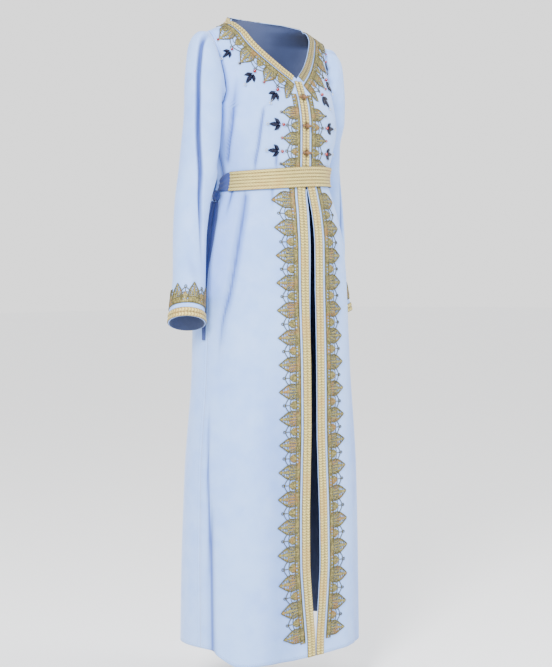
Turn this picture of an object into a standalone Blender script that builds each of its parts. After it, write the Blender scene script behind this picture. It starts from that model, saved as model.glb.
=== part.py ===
"""Open-front kaftan, hollow as when worn: cloth walls, braid, cut lace, belt, buttons and stones.

Metres, +Z up. The origin is midway between the two points where the shoulder seams meet the
neckline. The front faces -Y and the wearer's right side is -X. A drop is a distance down from
the origin. An angle round the body is 0 at the wearer's left, 90 at centre front, 180 at the
wearer's right and 270 at centre back.
"""
import math

import bmesh
import bpy
from mathutils import Vector
from mathutils.bvhtree import BVHTree

# Cloth and the gaps between neighbours
CLOTH = 0.0015
SEAM_GAP = 0.0004
ARMHOLE_GAP = 0.0006
LIE_GAP = 0.0006
LEAST_GAP = 0.0005
SEWN_GAP = 0.0003
PROBE = 0.02
NORMAL_STEP = 0.0008
WALK_STEP = 0.006

# Driving sizes of the garment
HEM_DROP = 1.467
HEM_RISE = 0.038
HEM_TURNS = (64.0, 86.0)
SHOULDER_DROP = 0.030
UNDERARM_DROP = 0.205
NECK_DROP = 0.130
BELT_DROP = 0.358
BELT_HEIGHT = 0.048
BELT_STAND_OFF = 0.0041
BELT_THICK = 0.0026
BELT_END_ANGLE = 170.5
TIE_STAND_OFF = 0.0019
TIE_THICK = 0.0018

# Braid bands: widths, thickness and where the lace starts beside them
NECK_BAND = 0.018
CHEST_BAND = 0.0115
SKIRT_BAND = 0.026
CUFF_BAND = 0.020
BAND_THICK = 0.0016
BAND_RIDGE = 0.0006
LACE_THICK = 0.0011
NECK_LACE_START = 0.022
CHEST_LACE_START = 0.018
SKIRT_LACE_START = 0.033
CUFF_LACE_START = 0.030

# Lace repeats: pitch along the edge, and how far a leaf reaches from the lace's straight edge
NECK_PITCH = 0.0590
CHEST_PITCH = 0.0590
SKIRT_PITCH = 0.0620
NECK_LEAF = 0.053
CHEST_LEAF = 0.052
SKIRT_LEAF = 0.063
CUFF_LEAF = 0.047
SPINE_WIDTH = 0.015
CUFF_REPEATS = 6
SKIRT_LEAVES = 17

BUTTON_DROPS = (0.176, 0.241, 0.303)
BUTTON_RADIUS = 0.0048
LOOP_RADIUS = 0.0068
LOOP_CORD = 0.0008

# Sections of the body: drop, half width, front depth, back depth, squareness
SECTIONS = (
    (-0.022, 0.105, 0.0200, 0.0620, 2.2),
    (-0.010, 0.112, 0.0210, 0.0640, 2.2),
    (0.000, 0.120, 0.0230, 0.0660, 2.2),
    (0.010, 0.143, 0.0310, 0.0680, 2.2),
    (0.021, 0.167, 0.0390, 0.0700, 2.2),
    (0.030, 0.186, 0.0440, 0.0720, 2.2),
    (0.050, 0.186, 0.0530, 0.0760, 2.2),
    (0.100, 0.178, 0.0790, 0.0850, 2.3),
    (0.150, 0.174, 0.1025, 0.0980, 2.4),
    (0.200, 0.173, 0.1170, 0.1050, 2.6),
    (0.240, 0.174, 0.1215, 0.1070, 2.7),
    (0.300, 0.160, 0.1205, 0.1020, 2.5),
    (0.360, 0.146, 0.1190, 0.0950, 2.3),
    (0.400, 0.156, 0.1240, 0.1030, 2.4),
    (0.450, 0.172, 0.1320, 0.1150, 2.5),
    (0.520, 0.188, 0.1370, 0.1250, 2.6),
    (0.600, 0.198, 0.1370, 0.1260, 2.6),
    (0.800, 0.208, 0.1400, 0.1255, 2.6),
    (1.050, 0.231, 0.1385, 0.1375, 2.6),
    (1.250, 0.236, 0.1380, 0.1520, 2.6),
    (1.467, 0.238, 0.1370, 0.1630, 2.6),
)

# The one crease line of each front: drop, angle on the right side, depth, half width
FRONT_CREASE = (
    (0.130, 160.0, 0.0000, 0.012),
    (0.200, 162.5, 0.0050, 0.011),
    (0.245, 164.5, 0.0115, 0.011),
    (0.300, 171.0, 0.0105, 0.010),
    (0.325, 173.0, 0.0030, 0.010),
    (0.336, 172.0, 0.0000, 0.011),
    (0.385, 156.5, 0.0000, 0.013),
    (0.410, 155.5, 0.0060, 0.014),
    (0.500, 157.5, 0.0080, 0.016),
    (0.610, 162.0, 0.0070, 0.016),
    (0.700, 168.0, 0.0040, 0.015),
    (0.800, 170.0, 0.0000, 0.015),
    (1.050, 171.0, 0.0000, 0.015),
    (1.200, 172.0, 0.0060, 0.015),
    (1.467, 171.5, 0.0070, 0.016),
)

# Soft folds of the back skirt: centre angle, top drop, depth at the hem, half width at the hem
BACK_FOLDS = (
    (214.0, 0.44, 0.011, 0.034),
    (252.0, 0.41, 0.017, 0.042),
    (288.0, 0.42, 0.015, 0.042),
    (326.0, 0.45, 0.011, 0.034),
)

# Neckline: drop and half width at the front, half width and drop at the back
NECK_FRONT = (
    (0.000, 0.1200),
    (0.010, 0.1150),
    (0.021, 0.1080),
    (0.050, 0.0890),
    (0.096, 0.0440),
    (0.130, 0.0006),
)
NECK_BACK = (
    (0.000, -0.0220),
    (0.050, -0.0214),
    (0.085, -0.0185),
    (0.105, -0.0125),
    (0.116, -0.0050),
    (0.120, 0.0000),
)

# Armhole: drop, distance of its edge in front of and behind the shoulder line
ARMHOLE = (
    (0.030, 0.000, 0.000),
    (0.040, 0.008, 0.010),
    (0.070, 0.017, 0.022),
    (0.100, 0.023, 0.031),
    (0.135, 0.031, 0.039),
    (0.165, 0.035, 0.042),
    (0.188, 0.028, 0.034),
    (0.205, 0.000, 0.000),
)

# Half of the gap between the two front edges: drop, half gap
FRONT_GAP = (
    (0.130, 0.0006),
    (0.370, 0.0006),
    (0.383, 0.0040),
    (0.410, 0.0070),
    (0.500, 0.0110),
    (0.650, 0.0110),
    (0.800, 0.0100),
    (0.920, 0.0100),
    (1.030, 0.0130),
    (1.150, 0.0170),
    (1.240, 0.0175),
    (1.330, 0.0115),
    (1.380, 0.0065),
    (1.430, 0.0020),
    (1.467, 0.0010),
)

# Underlap behind the right front edge: drop, width that shows past that edge
UNDERLAP = ((0.386, 0.008), (0.450, 0.010), (0.550, 0.009), (0.680, 0.005), (0.800, 0.002), (0.850, 0.0005))
UNDERLAP_HIDDEN = 0.012

# Sleeve rings: outer x, outer drop, inner x, inner drop, half depth
SLEEVE_RINGS = (
    (0.1880, 0.030, 0.1740, 0.200, 0.0400),
    (0.2180, 0.033, 0.1770, 0.206, 0.0440),
    (0.2400, 0.051, 0.1780, 0.212, 0.0450),
    (0.2500, 0.090, 0.1790, 0.218, 0.0450),
    (0.2570, 0.140, 0.1800, 0.225, 0.0450),
    (0.2600, 0.200, 0.1810, 0.240, 0.0450),
    (0.2660, 0.270, 0.1820, 0.285, 0.0450),
    (0.2720, 0.340, 0.1840, 0.345, 0.0450),
    (0.2850, 0.420, 0.2040, 0.420, 0.0410),
    (0.2910, 0.500, 0.2175, 0.500, 0.0390),
    (0.2930, 0.580, 0.2200, 0.580, 0.0375),
    (0.3030, 0.655, 0.2250, 0.665, 0.0405),
    (0.3075, 0.690, 0.2235, 0.690, 0.0420),
)
# How far each ring's centre lies behind the shoulder line: ring, right sleeve, left sleeve
SLEEVE_SWING = (
    (0, 0.000, 0.000),
    (2, -0.008, 0.006),
    (5, -0.012, 0.015),
    (6, -0.008, 0.036),
    (8, -0.001, 0.043),
    (10, 0.000, 0.041),
    (12, 0.000, 0.037),
)
# Deep fold of each sleeve: ring, angle from the outer side to the front, depth
SLEEVE_FOLD = (
    (0, 26.0, 0.000),
    (1, 27.0, 0.003),
    (2, 28.0, 0.012),
    (3, 28.0, 0.016),
    (5, 29.0, 0.017),
    (6, 38.0, 0.016),
    (7, 52.0, 0.014),
    (8, 72.0, 0.010),
    (9, 90.0, 0.005),
    (10, 98.0, 0.000),
    (12, 98.0, 0.000),
)
FOLD_SPREAD = 12.0
LEFT_FOLD_SHARE = 0.7
CUFF_TILT = 0.30
SLEEVE_COLUMNS = (0, 6, 12, 23, 39, 59, 81, 104, 127, 150, 172, 194, 216, 239, 262, 285, 306, 325, 348, 354)
SLEEVE_ROWS = (0, 0.5, 1, 2, 3, 4, 5, 6, 7, 8, 9, 10, 10.5, 11, 11.5, 12)

FRONT_ROWS = (
    0.002, 0.007, 0.013, 0.021, 0.030, 0.040, 0.055, 0.075, 0.100, 0.130, 0.165, 0.188, 0.205, 0.245, 0.280,
    0.310, 0.336, 0.360, 0.384, 0.412, 0.450, 0.495, 0.550, 0.650, 0.800, 0.920, 1.030, 1.150, 1.240, 1.350,
    1.467,
)
BACK_ROWS = (
    -0.022, -0.018, -0.010, 0.0005, 0.007, 0.013, 0.021, 0.030, 0.040, 0.055, 0.075, 0.100, 0.130, 0.165,
    0.188, 0.205, 0.245, 0.300, 0.330, 0.348, 0.366, 0.384, 0.412, 0.460, 0.550, 0.700, 0.880, 1.060, 1.260,
    1.467,
)
# Angles of the back skirt's columns: two between each fold and the ridge beside it
BACK_ANGLES = (180, 188.5, 197, 205.5, 214, 223.5, 233, 242.5, 252, 261, 270)
BACK_BLEND = (0.38, 0.50)
# Shares of the way from the front edge to the crease line, then from it to the side
FRONT_INNER_SHARES = (0.0, 0.10, 0.21, 0.33, 0.48, 0.65, 0.83, 1.0)
FRONT_OUTER_SHARES = (0.0, 0.45, 1.0)

# One lace repeat: share of the pitch, reach of the inner column, reach of the outline
# Reaches are shares of the leaf's own reach. A gap lies in the middle column where the last is 1
LACE_REPEAT = (
    (0.00, 0.56, 1.00, 0),
    (0.24, 0.50, 0.62, 1),
    (0.44, 0.62, 0.72, 0),
    (0.56, 0.62, 0.72, 1),
    (0.76, 0.50, 0.62, 0),
)


def tint(red, green, blue):
    """Linear colour of a display colour from 0 to 255."""
    def linear(value):
        share = value / 255.0
        return share / 12.92 if share <= 0.04045 else ((share + 0.055) / 1.055) ** 2.4
    return (linear(red), linear(green), linear(blue), 1.0)


# Finishes: name, colour, roughness, metallic
FINISHES = {
    "cloth": (tint(206, 222, 240), 0.75, 0.0),
    "gold_braid": (tint(212, 196, 150), 0.45, 0.25),
    "gold_lace": (tint(150, 145, 108), 0.55, 0.20),
    "navy_stone": (tint(16, 22, 50), 0.12, 0.0),
    "amber_knot": (tint(176, 132, 62), 0.40, 0.20),
}


def finish_of(key):
    """The material of a finish, made once."""
    material = bpy.data.materials.get(key)
    if material:
        return material
    colour, roughness, metallic = FINISHES[key]
    material = bpy.data.materials.new(key)
    material.use_nodes = True
    shader = material.node_tree.nodes["Principled BSDF"]
    shader.inputs["Base Color"].default_value = colour
    shader.inputs["Roughness"].default_value = roughness
    shader.inputs["Metallic"].default_value = metallic
    material.diffuse_color = colour
    return material


def smooth_column(rows, column):
    """A function that reads one column of a table smoothly, without overshooting its rows."""
    keys = [row[0] for row in rows]
    values = [row[column] for row in rows]
    rises = [(values[i + 1] - values[i]) / (keys[i + 1] - keys[i]) for i in range(len(keys) - 1)]
    slopes = [rises[0]]
    for before, after in zip(rises, rises[1:]):
        slopes.append(0.0 if before * after <= 0 else 2 * before * after / (before + after))
    slopes.append(rises[-1])

    def read(key):
        if key <= keys[0]:
            return values[0]
        if key >= keys[-1]:
            return values[-1]
        low = max(i for i in range(len(keys) - 1) if keys[i] <= key)
        span = keys[low + 1] - keys[low]
        t = (key - keys[low]) / span
        start = values[low] + span * slopes[low] * t * (1 - t) ** 2
        swing = (values[low + 1] - values[low]) * t * t * (3 - 2 * t)
        return start + swing - span * slopes[low + 1] * t * t * (1 - t)
    return read


half_width_at = smooth_column(SECTIONS, 1)
front_depth_at = smooth_column(SECTIONS, 2)
back_depth_at = smooth_column(SECTIONS, 3)
squareness_at = smooth_column(SECTIONS, 4)
crease_angle_at = smooth_column(FRONT_CREASE, 1)
crease_depth_at = smooth_column(FRONT_CREASE, 2)
crease_width_at = smooth_column(FRONT_CREASE, 3)
neck_front_at = smooth_column(NECK_FRONT, 1)
neck_back_at = smooth_column(NECK_BACK, 1)
armhole_front_at = smooth_column(ARMHOLE, 1)
armhole_back_at = smooth_column(ARMHOLE, 2)
front_gap_at = smooth_column(FRONT_GAP, 1)
underlap_at = smooth_column(UNDERLAP, 1)


def bump(offset, half_width):
    """A rounded trough: 1 in its middle, 0 from half_width on."""
    share = abs(offset) / half_width
    return 0.5 + 0.5 * math.cos(math.pi * share) if share < 1 else 0.0


def fold_depth(angle, drop, radius):
    """How far the folds pull the cloth in at this place."""
    degrees = math.degrees(angle) % 360
    depth = 0.0
    if crease_depth_at(drop) > 0 and 0 <= degrees <= 215:
        for centre, share in ((crease_angle_at(drop), 1.0), (180 - crease_angle_at(drop), 0.8)):
            offset = math.radians(degrees - centre) * radius
            depth += share * crease_depth_at(drop) * bump(offset, crease_width_at(drop))
    if degrees > 180:
        for centre, top, deep, wide in BACK_FOLDS:
            if drop > top:
                share = (drop - top) / (HEM_DROP - top)
                offset = math.radians(degrees - centre) * radius
                depth += deep * share ** 0.6 * bump(offset, wide * (0.5 + 0.5 * share))
    return depth


def body_point(angle, drop, folded=True):
    """The cloth's outer face at an angle in radians and a drop."""
    depth = front_depth_at(drop) if math.sin(angle) > 0 else back_depth_at(drop)
    power = squareness_at(drop)
    across = (abs(math.cos(angle)) / half_width_at(drop)) ** power
    along = (abs(math.sin(angle)) / depth) ** power
    radius = (across + along) ** (-1 / power)
    if folded:
        radius -= fold_depth(angle, drop, radius)
    return Vector((radius * math.cos(angle), -radius * math.sin(angle), -drop))


def body_place(angle, drop, folded=True):
    """The outer face's point and its outward normal."""
    point = body_point(angle, drop, folded)
    turn = NORMAL_STEP / max(0.03, point.xy.length)
    round_body = body_point(angle + turn, drop, folded) - body_point(angle - turn, drop, folded)
    down = body_point(angle, drop + NORMAL_STEP, folded) - body_point(angle, drop - NORMAL_STEP, folded)
    normal = round_body.cross(down).normalized()
    outward = Vector((math.cos(angle), -math.sin(angle), 0.6 if drop < SHOULDER_DROP else 0))
    return point, normal if normal.dot(outward) > 0 else -normal


def nearest_place(point, folded=True):
    """The outer face straight out from the body's axis through a point close to it."""
    return body_place(math.atan2(-point.y, point.x), -point.z, folded)


def walk(start, direction, distance, folded=True):
    """Go a distance over the cloth, straight ahead, and give the place there."""
    point, normal = nearest_place(start, folded)
    heading = (direction - normal * direction.dot(normal)).normalized()
    steps = max(1, math.ceil(distance / WALK_STEP))
    for _ in range(steps):
        point, normal = nearest_place(point + heading * distance / steps, folded)
        heading = (heading - normal * heading.dot(normal)).normalized()
    return point, normal, heading


def find_angle(test, low, high):
    """The angle in degrees between low and high where the test turns from True to False."""
    for _ in range(36):
        middle = (low + high) / 2
        if test(math.radians(middle)):
            low = middle
        else:
            high = middle
    return (low + high) / 2


def front_edge_angle(drop):
    """Angle of the right front's free edge: the neckline, then the edge beside centre front."""
    reach = neck_front_at(drop) if drop < NECK_DROP else front_gap_at(drop)
    return find_angle(lambda angle: -body_point(angle, drop).x < reach, 90.0, 179.9)


def front_side_angle(drop):
    """Angle of the right front's other side: shoulder seam, armhole, side seam."""
    reach = armhole_front_at(drop) if SHOULDER_DROP < drop < UNDERARM_DROP else 0.0
    reach += SEAM_GAP / 2
    return find_angle(lambda angle: -body_point(angle, drop).y > reach, 91.0, 180.0)


def back_side_angle(drop):
    """Angle of the back's right side: neckline, shoulder seam, armhole, side seam."""
    if drop < 0:
        half = find_angle(lambda angle: neck_back_at(-body_point(angle, drop).x) > drop, 180.0, 270.0)
        return half
    reach = armhole_back_at(drop) if SHOULDER_DROP < drop < UNDERARM_DROP else 0.0
    reach += SEAM_GAP / 2
    return find_angle(lambda angle: body_point(angle, drop).y < reach, 180.0, 269.0)


def spread_angles(drop, start, end, shares_of_length):
    """Angles at given shares of the way over the cloth between two angles, all in degrees."""
    count = 48
    angles = [start + (end - start) * i / count for i in range(count + 1)]
    points = [body_point(math.radians(a), drop) for a in angles]
    lengths = [0.0]
    for before, after in zip(points, points[1:]):
        lengths.append(lengths[-1] + (after - before).length)
    result = []
    for share in shares_of_length(lengths[-1], angles, lengths):
        target = share * lengths[-1]
        low = max(i for i in range(count) if lengths[i] <= target + 1e-9)
        part = (target - lengths[low]) / (lengths[low + 1] - lengths[low])
        result.append(angles[low] + (angles[low + 1] - angles[low]) * min(1.0, part))
    return result


def front_shares(drop):
    """Column places of a front's row, with three of them on its crease."""
    def shares(length, angles, lengths):
        crease = crease_angle_at(drop)
        found = [s for a, s in zip(angles, lengths) if a <= crease]
        middle = min(0.86, max(0.60, (found[-1] if found else 0) / length))
        half = min(crease_width_at(drop), 0.12 * length) / length
        inner = [share * (middle - half) for share in FRONT_INNER_SHARES]
        outer = [middle + half + (1 - middle - half) * share for share in FRONT_OUTER_SHARES]
        return inner + [middle] + outer
    return shares


def wall(name, grid, thickness, key, gaps=(), ring=False):
    """A closed wall under a grid of (point, normal) places. A ring's rows close on themselves."""
    lower = [[point - normal * thickness for point, normal in row] for row in grid]
    return solid_between(name, [[point for point, _ in row] for row in grid], lower, key, gaps, ring)


def panel_tree(names):
    """The panels' faces, to find how high trim lies above them."""
    points, faces = [], []
    for name in names:
        mesh = bpy.data.objects[name].data
        start = len(points)
        points += [vert.co.copy() for vert in mesh.vertices]
        faces += [[start + k for k in face.vertices] for face in mesh.polygons]
    return BVHTree.FromPolygons(points, faces)


def clear_lifts(tree, grid):
    """Height of each place's underside, so that no cell of the grid dips into the panels."""
    lifts = [[LIE_GAP for _ in row] for row in grid]
    shares = (0.0, 0.125, 0.25, 0.375, 0.5, 0.625, 0.75, 0.875, 1.0)
    for _ in range(3):
        for i in range(len(grid) - 1):
            for j in range(len(grid[i]) - 1):
                corners = ((i, j), (i, j + 1), (i + 1, j), (i + 1, j + 1))
                spots = [grid[a][b][0] + grid[a][b][1] * lifts[a][b] for a, b in corners]
                normal = sum((grid[a][b][1] for a, b in corners), Vector()).normalized()
                need = 0.0
                tested = [spots[0].lerp(spots[3], u) for u in shares] + [spots[1].lerp(spots[2], u) for u in shares]
                for side in ((0, 1), (2, 3), (0, 2), (1, 3)):
                    tested += [spots[side[0]].lerp(spots[side[1]], u) for u in shares]
                for spot in tested:
                    hit = tree.ray_cast(spot + normal * PROBE, -normal, 2 * PROBE)[3]
                    if hit is not None:
                        need = max(need, LEAST_GAP - (hit - PROBE))
                for a, b in corners if need > 0 else ():
                    lifts[a][b] += need
    return lifts


def three_columns(row):
    """The first, middle and last places of a row, where a strip's plain back has its corners."""
    return [row[0], row[len(row) // 2], row[-1]]


def raised(name, grid, lifts, heights, key):
    """A closed strip from its lifted underside up by each column's height."""
    upper, lower = [], []
    for row, (near, middle, far) in zip(grid, lifts):
        half = len(row) // 2
        level = [near + (middle - near) * k / half for k in range(half)]
        level += [middle + (far - middle) * k / half for k in range(half + 1)]
        upper.append([p + n * (lift + height) for (p, n), lift, height in zip(row, level, heights)])
        lower.append([p + n * lift for (p, n), lift in zip(three_columns(row), (near, middle, far))])
    return plain_backed(name, upper, lower, key)


def plain_backed(name, upper, lower, key, ring=False):
    """A closed strip with a worked face and a plain back of fewer columns behind it."""
    mesh = bmesh.new()
    top = [[mesh.verts.new(point) for point in row] for row in upper]
    back = [[mesh.verts.new(point) for point in row] for row in lower]
    pairs = list(zip(range(len(top)), range(1, len(top))))
    if ring:
        pairs.append((len(top) - 1, 0))
    for i, j in pairs:
        for k in range(len(top[i]) - 1):
            mesh.faces.new((top[i][k], top[i][k + 1], top[j][k + 1], top[j][k]))
        for k in range(len(back[i]) - 1):
            mesh.faces.new((back[i][k + 1], back[i][k], back[j][k], back[j][k + 1]))
        mesh.faces.new((top[i][0], top[j][0], back[j][0], back[i][0]))
        mesh.faces.new((top[j][-1], top[i][-1], back[i][-1], back[j][-1]))
    if not ring:
        mesh.faces.new(top[0][::-1] + back[0])
        mesh.faces.new(top[-1] + back[-1][::-1])
    return place(name, mesh, key)


def solid_between(name, upper, lower, key, gaps=(), ring=False):
    """The closed solid between two grids of points, left out where a cell is in gaps.

    Both grids fold along the same diagonal of each cell, so the wall keeps its thickness."""
    mesh = bmesh.new()
    top = [[mesh.verts.new(point) for point in row] for row in upper]
    bottom = [[mesh.verts.new(point) for point in row] for row in lower]
    columns = len(upper[0])
    edges = {}
    for i in range(len(upper) - 1):
        for j in range(columns if ring else columns - 1):
            if (i, j) in gaps:
                continue
            following = (j + 1) % columns
            corners = ((i, j), (i, following), (i + 1, following), (i + 1, j))
            falling = (upper[i][j] - upper[i + 1][following]).length
            rising = (upper[i][following] - upper[i + 1][j]).length
            turned = corners if falling < rising else corners[1:] + corners[:1]
            for cell in (turned[:3], (turned[0],) + turned[2:]):
                mesh.faces.new([top[a][b] for a, b in cell])
                mesh.faces.new([bottom[a][b] for a, b in reversed(cell)])
            for k in range(4):
                edges[(corners[k], corners[(k + 1) % 4])] = True
    for start, end in edges:
        if (end, start) not in edges:
            (a, b), (c, d) = start, end
            mesh.faces.new((top[c][d], top[a][b], bottom[a][b], bottom[c][d]))
    loose = [vert for vert in mesh.verts if not vert.link_faces]
    bmesh.ops.delete(mesh, geom=loose, context="VERTS")
    return place(name, mesh, key)


def place(name, mesh, key):
    """Turn a bmesh into a named object with its faces outwards."""
    bmesh.ops.recalc_face_normals(mesh, faces=mesh.faces)
    if mesh.calc_volume(signed=True) < 0:
        bmesh.ops.reverse_faces(mesh, faces=mesh.faces)
    data = bpy.data.meshes.new(name)
    mesh.to_mesh(data)
    mesh.free()
    data.shade_smooth()
    data.set_sharp_from_angle(angle=math.radians(35))
    data.materials.append(finish_of(key))
    item = bpy.data.objects.new(name, data)
    bpy.context.scene.collection.objects.link(item)
    return item


def mirrored(places):
    """The same grid of places on the wearer's left side."""
    flip = Vector((-1, 1, 1))
    return [[(p * flip, n * flip) for p, n in row] for row in places]


def cloth_row(angles, drop):
    """A row of places on the cloth. The hem's row is higher at the sides and the back."""
    row = []
    for degrees in angles:
        share = (abs(degrees - 90) - HEM_TURNS[0]) / (HEM_TURNS[1] - HEM_TURNS[0])
        share = min(1.0, max(0.0, share if drop == HEM_DROP else 0.0))
        rise = HEM_RISE * share * share * (3 - 2 * share)
        row.append(body_place(math.radians(degrees), drop - rise))
    return row


def front_grid():
    """Right front, from its free edge to its side."""
    grid = []
    for drop in FRONT_ROWS:
        angles = spread_angles(drop, front_edge_angle(drop), front_side_angle(drop), front_shares(drop))
        grid.append(cloth_row(angles, drop))
    return grid


def back_grid():
    """Back, from its right side round to its left side."""
    grid = []
    for drop in BACK_ROWS:
        if drop <= NECK_BACK[0][1]:
            start = find_angle(lambda angle: -body_point(angle, drop).x > 0.03, 181.0, 270.0)
        else:
            start = back_side_angle(drop)
        end = 540 - start
        angles = spread_angles(drop, start, end, lambda *_: [i / 20 for i in range(21)])
        fixed = [start + (270 - start) * (angle - 180) / 90 for angle in BACK_ANGLES]
        fixed += [540 - angle for angle in fixed[-2::-1]]
        blend = min(1.0, max(0.0, (drop - BACK_BLEND[0]) / (BACK_BLEND[1] - BACK_BLEND[0])))
        mixed = [a + (b - a) * blend for a, b in zip(angles, fixed)]
        grid.append(cloth_row(mixed, drop))
    return grid


class Edge:
    """A line on the cloth that trim follows, read by the distance along it."""

    def __init__(self, points):
        self.points = points
        self.lengths = [0.0]
        for before, after in zip(points, points[1:]):
            self.lengths.append(self.lengths[-1] + (after - before).length)

    def reach_drop(self, drop):
        """Distance along the line at which it comes to a drop, for a line that runs down."""
        low = max(i for i in range(len(self.points) - 1) if -self.points[i].z <= drop + 1e-9)
        start, end = -self.points[low].z, -self.points[low + 1].z
        share = (drop - start) / (end - start)
        return self.lengths[low] + share * (self.lengths[low + 1] - self.lengths[low])

    def at(self, distance):
        distance = min(max(distance, 0.0), self.lengths[-1])
        low = max(i for i in range(len(self.lengths) - 1) if self.lengths[i] <= distance)
        share = (distance - self.lengths[low]) / (self.lengths[low + 1] - self.lengths[low])
        return self.points[low].lerp(self.points[low + 1], share)

    def heading(self, distance):
        return (self.at(distance + 0.004) - self.at(distance - 0.004)).normalized()


def neck_edge():
    """Right half of the neckline, from its lowest point up to the shoulder and on to centre back."""
    points = []
    for i in range(27):
        drop = NECK_DROP * (1 - i / 26)
        points.append(body_point(math.radians(front_edge_angle(min(drop, NECK_DROP - 1e-5))), drop))
    for i in range(1, 21):
        reach = NECK_BACK[-1][0] * (1 - i / 20)
        drop = neck_back_at(reach)
        angle = find_angle(lambda turn: -body_point(turn, drop).x > reach, 180.0, 270.0)
        points.append(body_point(math.radians(angle), drop))
    return Edge(points)


def front_edge():
    """Right free edge from the neckline's lowest point down to the hem."""
    points = []
    for i in range(100):
        drop = NECK_DROP + (HEM_DROP - NECK_DROP) * i / 99
        points.append(body_point(math.radians(front_edge_angle(max(drop, NECK_DROP))), drop))
    return Edge(points)


def across_places(edge, distance, reaches, sideways):
    """Places on the cloth at reaches from one point of an edge, square to that edge."""
    start = edge.at(distance)
    _, normal = nearest_place(start)
    heading = edge.heading(distance)
    direction = heading.cross(normal)
    if direction.dot(sideways) < 0:
        direction = -direction
    row = []
    for reach in reaches:
        point, surface, _ = walk(start, direction, max(reach, 1e-5))
        row.append((point, surface))
    return row


RIGHTWARDS = Vector((-1.0, 0.0, -0.4))


def braid_heights(ridges, top):
    """Heights across a band of equal ridges."""
    heights = [top]
    for _ in range(ridges):
        heights += [top + BAND_RIDGE, top]
    return heights


def band_rows(edge, distances, width, ridges, inset=0.0):
    """Grid of a band: one row for each distance along its edge."""
    reaches = [inset + width * i / (2 * ridges) for i in range(2 * ridges + 1)]
    return [across_places(edge, distance, reaches, RIGHTWARDS) for distance in distances]


def steps_between(start, end, longest):
    """Even steps from start to end, none longer than longest."""
    count = math.ceil((end - start) / longest)
    return [start + (end - start) * i / count for i in range(count + 1)]


def both_sides(name, grid, make):
    """Make a piece on the wearer's right and its mirror image on the left."""
    make(name + "_right", grid)
    make(name + "_left", mirrored(grid))


def lace_rows(edge, start, end, first_leaf, pitch, leaf, inner):
    """Grid and gaps of a lace strip along an edge between two distances."""
    stations = []
    for repeat in range(-1, 40):
        for share, middle, outline, gap in LACE_REPEAT:
            distance = first_leaf + (repeat + share) * pitch
            if start + 0.002 < distance < end - 0.002:
                stations.append((distance, middle, outline, gap))
    ends = [(start, 0.45, 0.55, 0), (end, 0.45, 0.55, 0)]
    if stations[-1][3]:
        stations[-1] = stations[-1][:3] + (0,)
    stations = [ends[0]] + stations + [ends[1]]
    grid = []
    gaps = set()
    for row, (distance, middle, outline, gap) in enumerate(stations):
        reaches = (inner, inner + SPINE_WIDTH, inner + leaf * middle, inner + leaf * outline)
        reaches = (reaches[0], reaches[1], max(reaches[2], reaches[1] + 0.005), max(reaches[3], reaches[1] + 0.009))
        grid.append(across_places(edge, distance, reaches, RIGHTWARDS))
        if gap:
            gaps.add((row, 1))
    return grid, gaps


def make_lace(name, tree, grid, gaps):
    """Lace on both sides, a wall lying on the cloth with its gaps cut through."""
    lifts = clear_lifts(tree, grid)
    lifted = [
        [(p + n * (lift + LACE_THICK), n) for (p, n), lift in zip(row, row_lifts)]
        for row, row_lifts in zip(grid, lifts)
    ]
    both_sides(name, lifted, lambda full, places: wall(full, places, LACE_THICK, "gold_lace", gaps))


def make_band(name, tree, grid, ridges):
    """A braid band on both sides."""
    heights = braid_heights(ridges, BAND_THICK)
    lifts = clear_lifts(tree, [three_columns(row) for row in grid])
    both_sides(name, grid, lambda full, places: raised(full, places, lifts, heights, "gold_braid"))


def armhole_line(rows, side_angle):
    """The armhole's edge of one panel, as straight runs between its rows."""
    drops = [drop for drop in rows if SHOULDER_DROP <= drop <= UNDERARM_DROP]
    return [body_point(math.radians(side_angle(drop)), drop) for drop in drops]


ARMHOLE_FRONT_LINE = armhole_line(FRONT_ROWS, front_side_angle)
ARMHOLE_BACK_LINE = armhole_line(BACK_ROWS, back_side_angle)


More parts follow.
